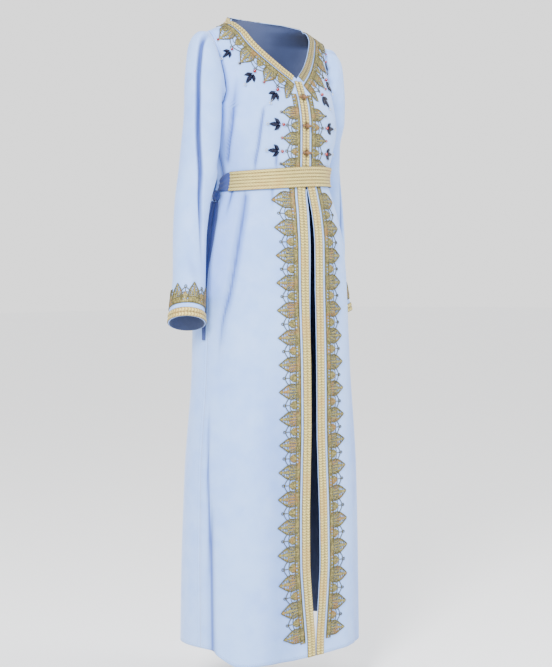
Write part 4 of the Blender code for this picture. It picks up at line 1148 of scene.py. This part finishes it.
def crease_shade(degrees, drop, radius):
    """How much painted shade the creases give this place: a soft trough with a narrow line in it."""
    shade = 0.0
    if crease_depth_at(drop) > 0:
        for centre, share in ((crease_angle_at(drop), 1.0), (180 - crease_angle_at(drop), 0.8)):
            offset = math.radians(degrees - centre) * radius
            deep = share * min(1.0, crease_depth_at(drop) / 0.006)
            shade = max(shade, deep * (0.38 * bump(offset, 0.020) + 0.62 * bump(offset, 0.0050)))
    for top, low, angle_at, depth_at, width_at in small_creases:
        if top < drop and (drop < low or low >= HEM_DROP - 0.001) and depth_at(drop) > 0:
            offset = math.radians(degrees - angle_at(drop)) * radius
            deep = min(1.0, depth_at(drop) / 0.0026)
            if width_at(drop) < 0.018:
                near = 0.2 * bump(offset, 0.012) + 0.7 * bump(offset, 0.0050)
            else:
                near = 0.24 * bump(offset, width_at(drop) * 2.2)
            shade = max(shade, deep * near)
    return shade


def fold_shades(places, edges):
    """Painted shade of each place of a body panel, from 0 to 1, where it lies deep in a fold or beside the armhole
    seam.
    """
    shades = []
    for row, near in zip(places, edges):
        line = []
        for (point, _), distance in zip(row, near):
            drop = -point.z
            angle = math.atan2(-point.y, point.x)
            shade = crease_shade(math.degrees(angle) % 360, drop, point.xy.length)
            # Painted shade beside the armhole seam, where the sleeve meets the body
            if 0.05 < drop < 0.36:
                side = 1 - distance / 0.010
                shade = max(shade, 0.8 * side * ease((drop - 0.05) / 0.06))
            line.append(min(0.85, max(0.0, shade)))
        shades.append(line)
    return shades


def panel_row(drop, start, end, count):
    """One row of a panel's places between two angles, lifted where the hem rises."""
    angles = even_angles(drop, start, end, count)
    return [body_place(math.radians(a), drop - hem_rise(a, drop)) for a in angles]


def front_places(left):
    """One front, from its free edge to its side."""
    grid = []
    for drop in finer(FRONT_ROWS, ROW_STEP):
        start, end = front_edge_angle(drop), front_side_angle(drop)
        if left:
            start, end = 180 - start, 180 - end
        grid.append(panel_row(drop, start, end, FRONT_COLUMNS))
    return grid


def back_places():
    """Back, from its right side round to its left side."""
    grid = []
    for drop in finer(BACK_ROWS, ROW_STEP):
        if drop <= NECK_BACK[0][1]:
            start = find_angle(lambda angle: -body_point(angle, drop).x > 0.03, 181.0, 270.0)
        else:
            start = back_side_angle(drop)
        grid.append(panel_row(drop, start, 540 - start, BACK_COLUMNS))
    return grid


class KAFTAN_OT_panels(bpy.types.Operator):
    """Drape the two fronts, the back and the strip behind the right edge"""
    bl_idname = "kaftan.panels"
    bl_label = "Panels"

    def execute(self, context):
        settings = context.scene.kaftan_cloth
        cloth = cloth_finish("woven_cloth", settings.colour, settings.shade, settings, True)
        # The cloth's inner face, painted in shade as a darker copy of the weave
        inner_shade = cloth_finish("lining_cloth", settings.inner_shade, [c * 0.8 for c in settings.inner_shade], settings, False)
        shapes = (
            ("front_right", front_places(False), False, (0.42, 1.50), 0.378),
            ("front_left", front_places(True), False, (0.42, 1.50), 0.378),
            ("back", back_places(), True, (0.90, 1.50), 0.776),
        )
        for node, places, seamed, flat, area in shapes:
            mesh = bmesh.new()
            edges = edge_distances(places, (seamed, True), (True, True))
            lay_grid(mesh, places, grid_lengths(places), edges, folds=fold_shades(places, edges))
            piece = finish_piece("cloth_" + node, mesh, cloth, [node], settings.thickness, inner_shade=inner_shade)
        grid = []
        for drop in finer((0.386, 0.52, 0.70, 0.85), 0.012):
            row = []
            edge = front_gap_at(drop)
            for k in range(7):
                reach = edge + UNDERLAP_HIDDEN - (UNDERLAP_HIDDEN + underlap_at(drop)) * k / 6
                turn = math.pi / 2 + math.atan2(reach, front_depth_at(drop))
                point, normal = body_place(turn, drop, folded=False)
                row.append((point - normal * 0.0021, normal))
            grid.append(row)
        mesh = bmesh.new()
        lay_grid(mesh, grid, grid_lengths(grid))
        plain = cloth_finish("plain_cloth", settings.colour, settings.shade, settings, False)
        piece = finish_piece("cloth_underlap", mesh, plain, ["underlap"], 0.001)
        return {"FINISHED"}


class KAFTAN_OT_sleeves(bpy.types.Operator):
    """Shape both sleeves with their folds, cuff braid and cuff lace"""
    bl_idname = "kaftan.sleeves"
    bl_label = "Sleeves"

    def execute(self, context):
        settings = context.scene.kaftan_cloth
        cloth = bpy.data.materials["woven_cloth"]
        # The sleeves' inner face is the cloth painted in shade
        inner_shade = bpy.data.materials["lining_cloth"]
        for name, side in (("right", -1), ("left", 1)):
            sleeve = Sleeve(side)
            rings = finer((0.0, 1.0, 2.0, 12.0), 0.09)
            turns = [math.radians(degrees) for degrees in finer(SLEEVE_COLUMNS + (360,), 4.2)]
            places, shades = [], []
            for ring in rings:
                start = math.radians(sleeve.fold_angle(ring))
                places.append([sleeve.place(start + turn, ring) for turn in turns])
                # Painted shade deep in the sleeve's folds
                shades.append([sleeve.shade(start + turn, ring) for turn in turns])
            mesh = bmesh.new()
            worked = edge_distances(places, (False, False), (True, False))
            lay_grid(mesh, places, grid_lengths(places), worked, True, shades)
            piece = finish_piece("cloth_sleeve_" + name, mesh, cloth, ["sleeve_" + name],
                                 settings.thickness, inner_shade=inner_shade)
            cuff = CuffRunner(sleeve, CUFF_LACE_START + CUFF_LEAF + 0.006)
            weave_band("cuff_braid_" + name, cuff, 0.0, CUFF_ROUND, 0.0, CUFF_BAND, 2, ["cuff_band_" + name], True)
            pitch = CUFF_ROUND / CUFF_REPEATS
            leaves = [CUFF_ROUND * 0.02 + pitch * k for k in range(CUFF_REPEATS)]
            sew_lace("cuff_lace_" + name, cuff, 0.0, CUFF_ROUND, leaves, pitch, CUFF_LEAF, CUFF_LACE_START,
                     ["cuff_lace_" + name], closed=True)
        return {"FINISHED"}


# Braid

def weave_band(name, runner, start, end, near, far, cords, nodes, closed=False, base=0.0005, groove=False,
               shaded=False):
    """A braid band: plaited cords side by side, with beads in the groove between them where asked."""
    settings = bpy.context.scene.kaftan_braid
    cells = CORD_COLUMNS * cords
    rows = []
    cord_width = (far - near) / cords
    for distance in steps_between(start, end, BRAID_STEP):
        row = []
        for k in range(cells + 1):
            reach = near + (far - near) * k / cells
            number = min(cords - 1, int((reach - near) / cord_width))
            t = ((reach - near) / cord_width - number) * 2 - 1
            lean = abs(t) * 0.55 if closed or cords < 4 else t * (0.8 if number % 2 else -0.8)
            plait = ripple(distance / settings.pitch + lean, 1.0)
            dome = math.sqrt(max(0.0, 1 - t * t))
            height = base + 0.0010 + 0.0009 * dome + 0.0006 * dome * plait
            crest = dome ** 1.5 * (0.15 + 0.85 * plait)
            if groove and abs(reach - (near + far) / 2) < 0.0016:
                bead = ripple(distance, BEAD_PITCH)
                height = base + 0.0004 + 0.0012 * bead
                crest = 0.55 * bead
            row.append((runner.spot(distance, reach, height), (reach, distance), crest))
        rows.append(row)
    mesh = bmesh.new()
    lay_worked(mesh, rows, closed)
    # Shaded bands take a darker copy of the gold: painted shade
    if shaded:
        light, dark = [c * 0.44 for c in settings.crest], [c * 0.5 for c in settings.hollow_shade]
        gold = braid_finish("plaited_dark_gold", light, dark)
    else:
        gold = bpy.data.materials.get("plaited_gold") or braid_finish("plaited_gold", settings.crest, settings.hollow_shade)
    return finish_piece(name, mesh, gold, nodes, settings.thickness)


# Lace

def leaf_grid(runner, centre, leaf, inner, half_scale, low, high, rows, columns, lift):
    """Cells of one leaf between two shares of its reach, ribbed from its root and scalloped."""
    grid = []
    for i in range(rows + 1):
        share = low + (high - low) * i / rows
        half = leaf_half_at((share - low) / (high - low)) * leaf * half_scale
        half *= 1 + 0.10 * math.cos(2 * math.pi * i / 4.0)
        row = []
        for k in range(columns + 1):
            c = 2 * k / columns - 1
            fan = math.atan2(c * half, leaf * (share - low + 0.10))
            rib = 0.5 + 0.5 * math.cos(fan * 26.0)
            body = math.sqrt(max(0.0, 1 - c * c))
            height = lift + 0.0004 * body + 0.0005 * rib * (0.4 + 0.6 * body)
            spot = runner.spot(centre + c * half, inner + leaf * share, height)
            row.append((spot, (c * half, leaf * share), 0.2 + 0.8 * rib * (0.5 + 0.5 * body)))
        grid.append(row)
    return grid


def middle_uv(face, layer):
    """The mean of a face's UVs."""
    count = len(face.loops)
    return sum(loop[layer].uv.x for loop in face.loops) / count, sum(loop[layer].uv.y for loop in face.loops) / count


def sew_lace(name, runner, start, end, leaves, pitch, leaf, inner, nodes, closed=False):
    """Lace along an edge: a dense spine, ribbed pointed leaves, and thread arches with small rings."""
    settings = bpy.context.scene.kaftan_lace
    mesh = bmesh.new()
    spine = []
    for distance in steps_between(start, end, 0.0016):
        row = []
        for k in range(11):
            reach = SPINE_WIDTH * k / 10
            cords = ripple(reach, 0.005)
            cross = ripple(distance + 0.3 * reach, 0.0048)
            wave = 0.0012 * math.cos(2 * math.pi * distance / SCALLOP) if k == 10 else 0.0
            spot = runner.spot(distance, inner + reach + wave, 0.0009 + 0.0005 * cords + 0.0004 * cross)
            row.append((spot, (reach, distance), 0.15 + 0.5 * cords + 0.35 * cross))
        spine.append(row)
    faces = lay_worked(mesh, spine, closed)
    uv_layer = mesh.loops.layers.uv.verify()
    opened = []
    for face in faces:
        if not face.is_valid:
            continue
        reach, distance = middle_uv(face, uv_layer)
        gap = min(abs(distance - centre) for centre in leaves)
        if 0.0082 < reach < 0.0122 and gap > 0.012 and (distance / SCALLOP) % 1.0 < 0.42:
            opened.append(face)
    bmesh.ops.delete(mesh, geom=opened, context="FACES")
    threads = []
    for centre in leaves:
        faces = lay_worked(mesh, leaf_grid(runner, centre, leaf, inner, 1.0, LEAF_ROOT, 1.0, LEAF_ROWS, 16, 0.0014))
        opened = []
        for face in faces:
            side, reach = middle_uv(face, uv_layer)
            side, share = abs(side), reach / leaf
            grown = (share - LEAF_ROOT) / (1 - LEAF_ROOT)
            half = leaf_half_at(grown) * leaf
            row, column = int(grown * LEAF_ROWS), int((side / half) * 8)
            lens = 0.58 < share < 0.86 and 0.22 < side / half < 0.72 and row % 4 != 1
            eyelet = 0.20 < share < 0.56 and column in (1, 4, 6) and row % 3 != (column // 2) % 3
            if lens or eyelet:
                opened.append(face)
        bmesh.ops.delete(mesh, geom=opened, context="FACES")
        outline = []
        for i in range(-14, 15):
            share = 1.0 - 0.06 * abs(i)
            half = leaf_half_at((share - LEAF_ROOT) / (1 - LEAF_ROOT)) * leaf * 0.99
            outline.append((centre + half * (1 if i > 0 else -1 if i < 0 else 0), leaf * share, 0.0016))
        threads.append((outline, 1.15))
        middle = centre + pitch / 2
        if middle > end - 0.004 and not closed:
            continue
        low = leaf_half_at(0.54) * leaf
        arch, ring = [], []
        for k in range(13):
            t = k / 12
            turn = 2 * math.pi * t
            along = centre + low + (pitch - 2 * low) * t
            arch.append((along, leaf * (0.60 + 0.13 * math.sin(math.pi * t)), 0.0012))
            ring.append((middle + 0.0027 * math.cos(turn), leaf * 0.79 + 0.0027 * math.sin(turn), 0.0012))
        threads += [(arch, 1.0), (ring, 0.9)]
        threads.append(([(middle, leaf * share, 0.0013) for share in (0.50, 0.60, 0.70, 0.745)], 0.9))
        for side in (-1, 1):
            foot = middle - side * (pitch / 2 - leaf * 0.225)
            curl = []
            for k in range(7):
                t = k / 6
                along = foot + (middle - foot) * t
                curl.append((along, leaf * (0.38 + 0.13 * t + 0.07 * math.sin(math.pi * t)), 0.0012))
            threads.append((curl, 0.8))
        lay_worked(mesh, leaf_grid(runner, middle, leaf, inner, 0.55, 0.20, 0.56, 16, 8, 0.0012))
    lace = bpy.data.materials.get("cut_lace") or lace_finish(settings)
    finish_piece(name, mesh, lace, nodes, 0.0007)
    for side in (0.0008, SPINE_WIDTH - 0.0008):
        rail = [(distance, side, 0.0016) for distance in steps_between(start, end, 0.008)]
        threads.append((rail, 1.0))
    lines = [
        ([runner.spot(distance, inner + reach, height)[0] for distance, reach, height in line], thickness)
        for line, thickness in threads
    ]
    thread = bpy.data.materials.get("lace_thread") or thread_finish(settings)
    finish_curve(name + "_threads", lines, settings.thread, 1, thread, [])


class KAFTAN_OT_braids(bpy.types.Operator):
    """Weave the braid round the neckline and down both fronts"""
    bl_idname = "kaftan.braids"
    bl_label = "Braids"

    def execute(self, context):
        neck, front = neck_edge(), front_edge()
        shoulder = neck.lengths[NECK_STEPS]
        whole = Runner(neck, 0.0, neck.lengths[-1], 0.024)
        chest = front.reach_drop(0.372)
        upper = Runner(front, 0.0, chest, 0.024)
        lower = Runner(front, chest, front.lengths[-1], 0.030)
        hem = front.lengths[-1] - 0.0004
        for side, turn in (("right", lambda runner: runner), ("left", Flipped)):
            # The wearer's left neck band takes the gold painted in shade
            weave_band("neck_braid_" + side, turn(whole), 0.0095, shoulder - 0.0004, 0.0, NECK_BAND, 2,
                       ["neck_band_" + side], shaded=side == "left")
            weave_band("back_neck_braid_" + side, turn(whole), shoulder + 0.0004, neck.lengths[-1] - 0.0006, 0.0,
                       NECK_BAND, 2, ["back_neck_band_" + side])
            weave_band("chest_braid_" + side, turn(upper), 0.008, front.reach_drop(0.366), 0.0, CHEST_BAND, 1,
                       ["chest_band_" + side])
            weave_band("skirt_braid_" + side, turn(lower), chest, hem, 0.0, SKIRT_BAND, 2,
                       ["skirt_band_" + side], groove=True)
        return {"FINISHED"}


class KAFTAN_OT_laces(bpy.types.Operator):
    """Sew the lace beside the braids"""
    bl_idname = "kaftan.laces"
    bl_label = "Laces"

    def execute(self, context):
        neck, front = neck_edge(), front_edge()
        shoulder = neck.lengths[NECK_STEPS]
        wide = NECK_LACE_START + NECK_LEAF + 0.006
        upper = Runner(neck, 0.0, shoulder, wide)
        start, first, end = [front.reach_drop(drop) for drop in (0.168, 0.213, 0.352)]
        chest = Runner(front, start, end, CHEST_LACE_START + CHEST_LEAF + 0.006)
        top, leaf_one = front.reach_drop(0.386), front.reach_drop(0.416)
        low = leaf_one + SKIRT_PITCH * (SKIRT_LEAVES - 0.6)
        skirt = Runner(front, top, low, SKIRT_LACE_START + SKIRT_LEAF + 0.006)
        for side, turn in (("right", lambda runner: runner), ("left", Flipped)):
            sew_lace("neck_lace_" + side, turn(upper), 0.0005, shoulder - 0.001,
                     [0.006, 0.062, 0.121, 0.180], NECK_PITCH, NECK_LEAF, NECK_LACE_START, ["neck_lace_" + side])
            sew_lace("chest_lace_" + side, turn(chest), start, end,
                     [first, first + NECK_PITCH, first + 2 * NECK_PITCH], NECK_PITCH, CHEST_LEAF,
                     CHEST_LACE_START, ["chest_lace_" + side])
            sew_lace("skirt_lace_" + side, turn(skirt), top, low,
                     [leaf_one + SKIRT_PITCH * k for k in range(SKIRT_LEAVES)], SKIRT_PITCH, SKIRT_LEAF,
                     SKIRT_LACE_START, ["skirt_lace_" + side])
        return {"FINISHED"}


# Belt, ties, knots

def belt_drop(angle):
    """Drop of the belt's middle line: it dips at the wearer's right side."""
    across = math.cos(angle)
    return BELT_DROP - 0.008 * across + 0.004 * across * across


class BeltRunner:
    """The belt's own cloth, read by the distance round from its right end and the height across it."""

    def __init__(self):
        self.angles = [BELT_END_ANGLE + (180 - 2 * BELT_END_ANGLE) * i / 160 for i in range(161)]
        points = [body_point(math.radians(a), BELT_DROP, False) for a in self.angles]
        self.lengths = [0.0]
        for before, after in zip(points, points[1:]):
            self.lengths.append(self.lengths[-1] + (after - before).length)

    def spot(self, distance, reach, height):
        low = 0
        while low < 159 and self.lengths[low + 1] < distance:
            low += 1
        share = (distance - self.lengths[low]) / (self.lengths[low + 1] - self.lengths[low])
        angle = math.radians(self.angles[low] + (self.angles[low + 1] - self.angles[low]) * share)
        point, normal = body_place(angle, belt_drop(angle) - BELT_HEIGHT / 2 + reach, False)
        return point + normal * (BELT_STAND_OFF + height), normal


class KAFTAN_OT_belt(bpy.types.Operator):
    """Braid the belt's front and tie its cloth ends behind the right side"""
    bl_idname = "kaftan.belt"
    bl_label = "Belt and ties"

    def execute(self, context):
        runner = BeltRunner()
        weave_band("belt_braid", runner, 0.0, runner.lengths[-1], 0.0, BELT_HEIGHT, 6, ["belt_gold"], base=0.0004)
        settings = context.scene.kaftan_cloth
        # The ties, tails and knot are the same cloth painted in shade as a deeper blue
        plain = cloth_finish("tie_cloth", settings.tie, [c * 0.72 for c in settings.tie], settings, False)
        ties = (
            ("tie_right", "belt_tie_right", BELT_END_ANGLE + 0.35, 184.0, 30, 0.044, 0.030, 0.006, (0.048, 0.045)),
            ("tie_back", "belt_tie_back", 180 - BELT_END_ANGLE - 0.35, -169.5, 150, 0.044, 0.030, 0.006,
             (0.50, 0.045)),
        )
        for name, node, start, end, count, wide, narrow, dip, flat in ties:
            grid = []
            for i in range(count + 1):
                share = i / count
                angle = math.radians(start + (end - start) * share)
                half = (wide + (narrow - wide) * share ** 2) / 2
                row = []
                for k in range(13):
                    c = k / 6 - 1
                    drop = belt_drop(angle) + half * c + dip * share ** 2
                    point, normal = body_place(angle, drop, False)
                    gather = 0.0009 * math.cos(c * 9.0 + 1.4 * math.sin(6.0 * share)) * (0.3 + 0.7 * share)
                    row.append((point + normal * (TIE_STAND_OFF + 0.0018 + gather), normal))
                grid.append(row)
            mesh = bmesh.new()
            lay_grid(mesh, grid, grid_lengths(grid))
            piece = finish_piece(name, mesh, plain, [node], settings.thickness)
            area = sum(face.area for face in piece.data.polygons)
        tails = (("tail_long", "tie_tail_long", TAIL_LONG, 0.0), ("tail_short", "tie_tail_short", TAIL_SHORT, 1.2))
        for name, node, rows, phase in tails:
            drops = finer([row[0] for row in rows], 0.005)
            angle_at, half_at, away_at = [smooth_column(rows, k) for k in (1, 2, 3)]
            grid = []
            for drop in drops:
                row = []
                for k in range(13):
                    c = k / 6 - 1
                    point, normal = body_place(math.radians(angle_at(drop)), drop, False)
                    along = Vector((normal.y, -normal.x, 0)).normalized()
                    fold = 0.0010 * math.cos(c * 6.0 + phase + 8.0 * (drop - rows[0][0]))
                    rise = away_at(drop) + 0.0020 + 0.0018 * (1 - c * c) + fold * (1 - c ** 4)
                    row.append((point + along * half_at(drop) * c + normal * rise, normal))
                grid.append(row)
            mesh = bmesh.new()
            lay_grid(mesh, grid, grid_lengths(grid))
            piece = finish_piece(name, mesh, plain, [node], 0.0012)
            area = sum(face.area for face in piece.data.polygons)
            length = drops[-1] - drops[0] + 0.004
            area / length * 1.3
        point, normal = body_place(math.radians(KNOT_ANGLE), KNOT_DROP, False)
        mesh = bmesh.new()
        bmesh.ops.create_uvsphere(mesh, u_segments=48, v_segments=32, radius=1.0)
        centre = point + normal * 0.0073
        for vert in mesh.verts:
            x, y, z = vert.co
            turn = math.atan2(z, y)
            wrap = 0.10 * math.cos(2 * turn + 5.0 * y) + 0.07 * math.cos(7.0 * (y + 0.8 * z)) * (0.4 + 0.6 * abs(x))
            swell = 1 + wrap
            vert.co = centre + Vector((x * 0.0065 * (1 + 0.6 * wrap), y * 0.0130 * swell, z * 0.0130 * swell))
        finish_piece("belt_knot_cloth", mesh, plain, ["belt_knot"])
        return {"FINISHED"}


def seat_frame(runner, distance, reach, height):
    """A point on the cloth with its outward, away-from-edge and along-edge directions."""
    point, normal = runner.spot(distance, reach, height)
    outer, _ = runner.spot(distance, reach + 0.002, height)
    away = (outer - point).normalized()
    return point, normal, away, away.cross(normal)


class KAFTAN_OT_buttons(bpy.types.Operator):
    """Seat the ball knots, their loops and the small knots beside them"""
    bl_idname = "kaftan.buttons"
    bl_label = "Buttons"

    def execute(self, context):
        amber = knot_finish()
        gold = bpy.data.materials["plaited_gold"]
        for number, drop in enumerate(BUTTON_DROPS, start=1):
            low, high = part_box("button_%d" % number)
            centre = (low + high) / 2
            mesh = bmesh.new()
            crest = mesh.verts.layers.float.new("crest")
            for shift, back, radius in BUTTON_KNOTS:
                seat = centre + Vector((shift, back, 0.0))
                made = bmesh.ops.create_uvsphere(mesh, u_segments=36, v_segments=24, radius=1.0)["verts"]
                for vert in made:
                    x, y, z = vert.co
                    turn = 5 * math.atan2(z, x)
                    weave = math.cos(turn + 4.0 * y) * math.cos(turn - 4.0 * y)
                    vert.co = seat + vert.co * (radius * (1 + 0.085 * weave))
                    vert[crest] = 0.5 + 0.5 * weave
            finish_piece("button_knot_%d" % number, mesh, amber, ["button_%d" % number])
            low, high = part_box("button_loop_%d" % number)
            middle = (low + high) / 2
            lines = []
            for strand in (0.0, math.pi):
                line = []
                for k in range(60):
                    turn = 2 * math.pi * k / 60
                    twist = LOOP_TWISTS * turn + strand
                    reach = LOOP_RADIUS + LOOP_CORD * math.cos(twist)
                    line.append(middle + Vector((
                        reach * math.cos(turn), -LOOP_CORD * math.sin(twist), reach * 1.15 * math.sin(turn))))
                lines.append((line, 1.0))
            finish_curve("button_cord_%d" % number, lines, 0.0008, 2, gold, ["button_loop_%d" % number],
                         closed=True)
        return {"FINISHED"}


# Stones

def add_stone(mesh, centre, normal, along, length, width, height):
    """A long stone pointed at both ends, with a flat table and straight facets."""
    side = normal.cross(along)
    made = bmesh.ops.create_cone(
        mesh, cap_ends=True, segments=12, radius1=1.0, radius2=0.58, depth=1.0)["verts"]
    for vert in made:
        x, y, z = vert.co
        y *= max(0.0, 1 - abs(x) ** 1.7 * 0.86)
        vert.co = centre + along * (x * length / 2) + side * (y * width / 2) + normal * ((z + 0.5) * height)


def add_bead(mesh, centre, normal, radius):
    """A round faceted bead."""
    made = bmesh.ops.create_icosphere(mesh, subdivisions=2, radius=radius)["verts"]
    bmesh.ops.translate(mesh, verts=made, vec=centre + normal * radius * 0.8)


def add_ring(mesh, centre, normal, along, radius, thickness):
    """A small ring lying on the cloth."""
    profile = bmesh.ops.create_circle(mesh, segments=8, radius=thickness)["verts"]
    for vert in profile:
        x, y, _ = vert.co
        vert.co = centre + along * (radius + x) + normal * (thickness + y)
    edges = list({edge for vert in profile for edge in vert.link_edges})
    bmesh.ops.spin(mesh, geom=profile + edges, cent=centre, axis=normal, angle=2 * math.pi, steps=20, use_merge=True)


class KAFTAN_OT_stones(bpy.types.Operator):
    """Set the stone groups beside the lace and the small beads at its tips"""
    bl_idname = "kaftan.stones"
    bl_label = "Stones"

    def execute(self, context):
        settings = context.scene.kaftan_stones
        navy = stone_finish("polished_navy", settings.navy)
        red = stone_finish("polished_red", settings.red)
        clear = stone_finish("polished_clear", display(150, 158, 168), 0.2)
        neck, front = neck_edge(), front_edge()
        runners = {
            "neck": Runner(neck, 0.0, neck.lengths[NECK_STEPS], 0.118),
            "front": Runner(front, 0.0, front.reach_drop(0.372), 0.118),
        }
        for side, turn in (("right", lambda runner: runner), ("left", Flipped)):
            stones, reds, rings = bmesh.new(), bmesh.new(), bmesh.new()
            for which, distance, reach, size in CLUSTERS:
                centre, normal, away, along = seat_frame(turn(runners[which]), distance, reach, 0.0008)
                size *= CLUSTER_SIZE

                def spot(out, across):
                    return centre + away * out * size + along * across * size

                add_stone(stones, spot(0.0086, 0.0), normal, away, 0.0262 * size, 0.0098 * size, 0.0032)
                for lean in (-1, 1):
                    tilt = (away * 0.80 + along * 0.60 * lean).normalized()
                    add_stone(stones, spot(0.0012, 0.0066 * lean), normal, tilt, 0.0196 * size, 0.0088 * size, 0.0028)
                add_bead(reds, spot(-0.0112, 0.0), normal, 0.0034 * size)
                add_ring(rings, spot(0.0246, 0.0), normal, away, 0.0026 * size, 0.0009)
            tips = [("neck", value, NECK_LACE_START + NECK_LEAF + 0.003) for value in (0.062, 0.121, 0.180)]
            first = front.reach_drop(0.213)
            tips += [("front", first + NECK_PITCH * k, CHEST_LACE_START + CHEST_LEAF + 0.003) for k in range(3)]
            for number, (which, distance, reach) in enumerate(tips):
                centre, normal, away, along = seat_frame(turn(runners[which]), distance, reach, 0.0006)
                add_bead(reds if number % 2 == 0 else stones, centre, normal, 0.0027)
                add_ring(rings, centre, normal, away, 0.0036, 0.0007)
            nodes = ["stones_%s_%d" % (side, k) for k in range(1, 6)]
            finish_piece("stones_navy_" + side, stones, navy, nodes, smooth=False)
            finish_piece("stones_red_" + side, reds, red, [], smooth=False)
            finish_piece("stone_rings_" + side, rings, clear, [])
        return {"FINISHED"}


# Stage

def light(name, energy, place, size, colour, aim):
    """An area light turned towards a point on the garment."""
    data = bpy.data.lights.new(name, "AREA")
    data.energy = energy
    data.color = colour
    data.shape = "DISK"
    data.size = size
    lamp = link_item(name, data)
    towards = Vector(aim) - Vector(place)
    turn = towards.to_track_quat("-Z", "Y").to_matrix().to_4x4()
    lamp.matrix_world = Matrix.Translation(place) @ turn


# Lamps: name, place, size, colour, aim
LAMPS = (
    ("key", (-3.1, -1.9, 1.2), 1.1, (1.0, 0.99, 0.98), (0.0, 0.0, -0.40)),
    ("fill", (1.7, -3.1, 0.9), 1.5, (0.95, 0.97, 1.0), (0.0, 0.0, -0.5)),
)
# Camera: metres and degrees, and a yaw of 5.5 picture cells at a focal length of 1563.7 cells
CAMERA_DISTANCE = 3.7
CAMERA_HEIGHT = -0.596
CAMERA_LENS = 84.4
CAMERA_SENSOR = 36
CAMERA_PITCH = 1.94
CAMERA_ROLL = -0.6
CAMERA_YAW = -math.atan(5.5 / 1563.7)


class KAFTAN_OT_stage(bpy.types.Operator):
    """Set the pale floor, the soft lights and the camera"""
    bl_idname = "kaftan.stage"
    bl_label = "Stage"

    def execute(self, context):
        settings = context.scene.kaftan_stage
        mesh = bmesh.new()
        bmesh.ops.create_grid(mesh, x_segments=1, y_segments=1, size=40.0)
        bmesh.ops.translate(mesh, verts=mesh.verts, vec=(0, 0, -settings.floor_drop))
        paint = Paint("floor", Roughness=0.9, Specular_IOR_Level=0.1)
        drift = paint.noise(0.8, 2.0)
        paint.colour(paint.mix(drift * 0.3, (0.95, 0.955, 0.965, 1), (0.92, 0.925, 0.94, 1)))
        floor = link_mesh("floor", mesh, paint.material)
        world = bpy.data.worlds.new("surround")
        world.use_nodes = True
        shade = world.node_tree.nodes["Background"]
        shade.inputs["Color"].default_value = (1.0, 1.0, 1.0, 1.0)
        shade.inputs["Strength"].default_value = settings.sky
        bpy.context.scene.world = world
        for name, place, size, colour, aim in LAMPS:
            light(name, getattr(settings, name), place, size, colour, aim)
        camera = bpy.data.cameras.new("camera")
        camera.lens = CAMERA_LENS
        camera.sensor_fit = "VERTICAL"
        camera.sensor_height = CAMERA_SENSOR
        viewer = link_item("camera", camera)
        diagonal = math.sqrt(0.5)
        pitch = math.radians(CAMERA_PITCH)
        forward = Vector((diagonal * math.cos(pitch), diagonal * math.cos(pitch), -math.sin(pitch)))
        forward = Matrix.Rotation(CAMERA_YAW, 3, "Z") @ forward
        turn = forward.to_track_quat("-Z", "Y").to_matrix() @ Matrix.Rotation(math.radians(CAMERA_ROLL), 3, "Z")
        aside = -CAMERA_DISTANCE * diagonal
        viewer.matrix_world = Matrix.Translation((aside, aside, CAMERA_HEIGHT)) @ turn.to_4x4()
        bpy.context.scene.camera = viewer
        return {"FINISHED"}


class KAFTAN_PT_panel(bpy.types.Panel):
    """Lists the garment's pieces and settings"""
    bl_idname = "KAFTAN_PT_panel"
    bl_label = "Kaftan"
    bl_space_type = "VIEW_3D"
    bl_region_type = "UI"
    bl_category = "Kaftan"

    def draw(self, context):
        column = self.layout.column(align=True)
        for operator in PIECES:
            column.operator(operator.bl_idname)
        for _, name in SETTINGS:
            group = getattr(context.scene, name)
            box = self.layout.box()
            for key in group.bl_rna.properties.keys():
                if key not in ("rna_type", "name"):
                    box.prop(group, key)


SETTINGS = (
    (ClothSettings, "kaftan_cloth"),
    (BraidSettings, "kaftan_braid"),
    (LaceSettings, "kaftan_lace"),
    (StoneSettings, "kaftan_stones"),
    (StageSettings, "kaftan_stage"),
)
PIECES = (
    KAFTAN_OT_panels,
    KAFTAN_OT_sleeves,
    KAFTAN_OT_braids,
    KAFTAN_OT_laces,
    KAFTAN_OT_belt,
    KAFTAN_OT_buttons,
    KAFTAN_OT_stones,
    KAFTAN_OT_stage,
)


def register():
    for group, name in SETTINGS:
        bpy.utils.register_class(group)
        setattr(bpy.types.Scene, name, bpy.props.PointerProperty(type=group))
    for operator in PIECES:
        bpy.utils.register_class(operator)
    bpy.utils.register_class(KAFTAN_PT_panel)


def unregister():
    bpy.utils.unregister_class(KAFTAN_PT_panel)
    for operator in reversed(PIECES):
        bpy.utils.unregister_class(operator)
    for group, name in reversed(SETTINGS):
        delattr(bpy.types.Scene, name)
        bpy.utils.unregister_class(group)


def main():
    """Build every piece in order."""
    register()
    for operator in PIECES:
        group, name = operator.bl_idname.split(".")
        getattr(getattr(bpy.ops, group), name)()


if __name__ == "__main__":
    main()
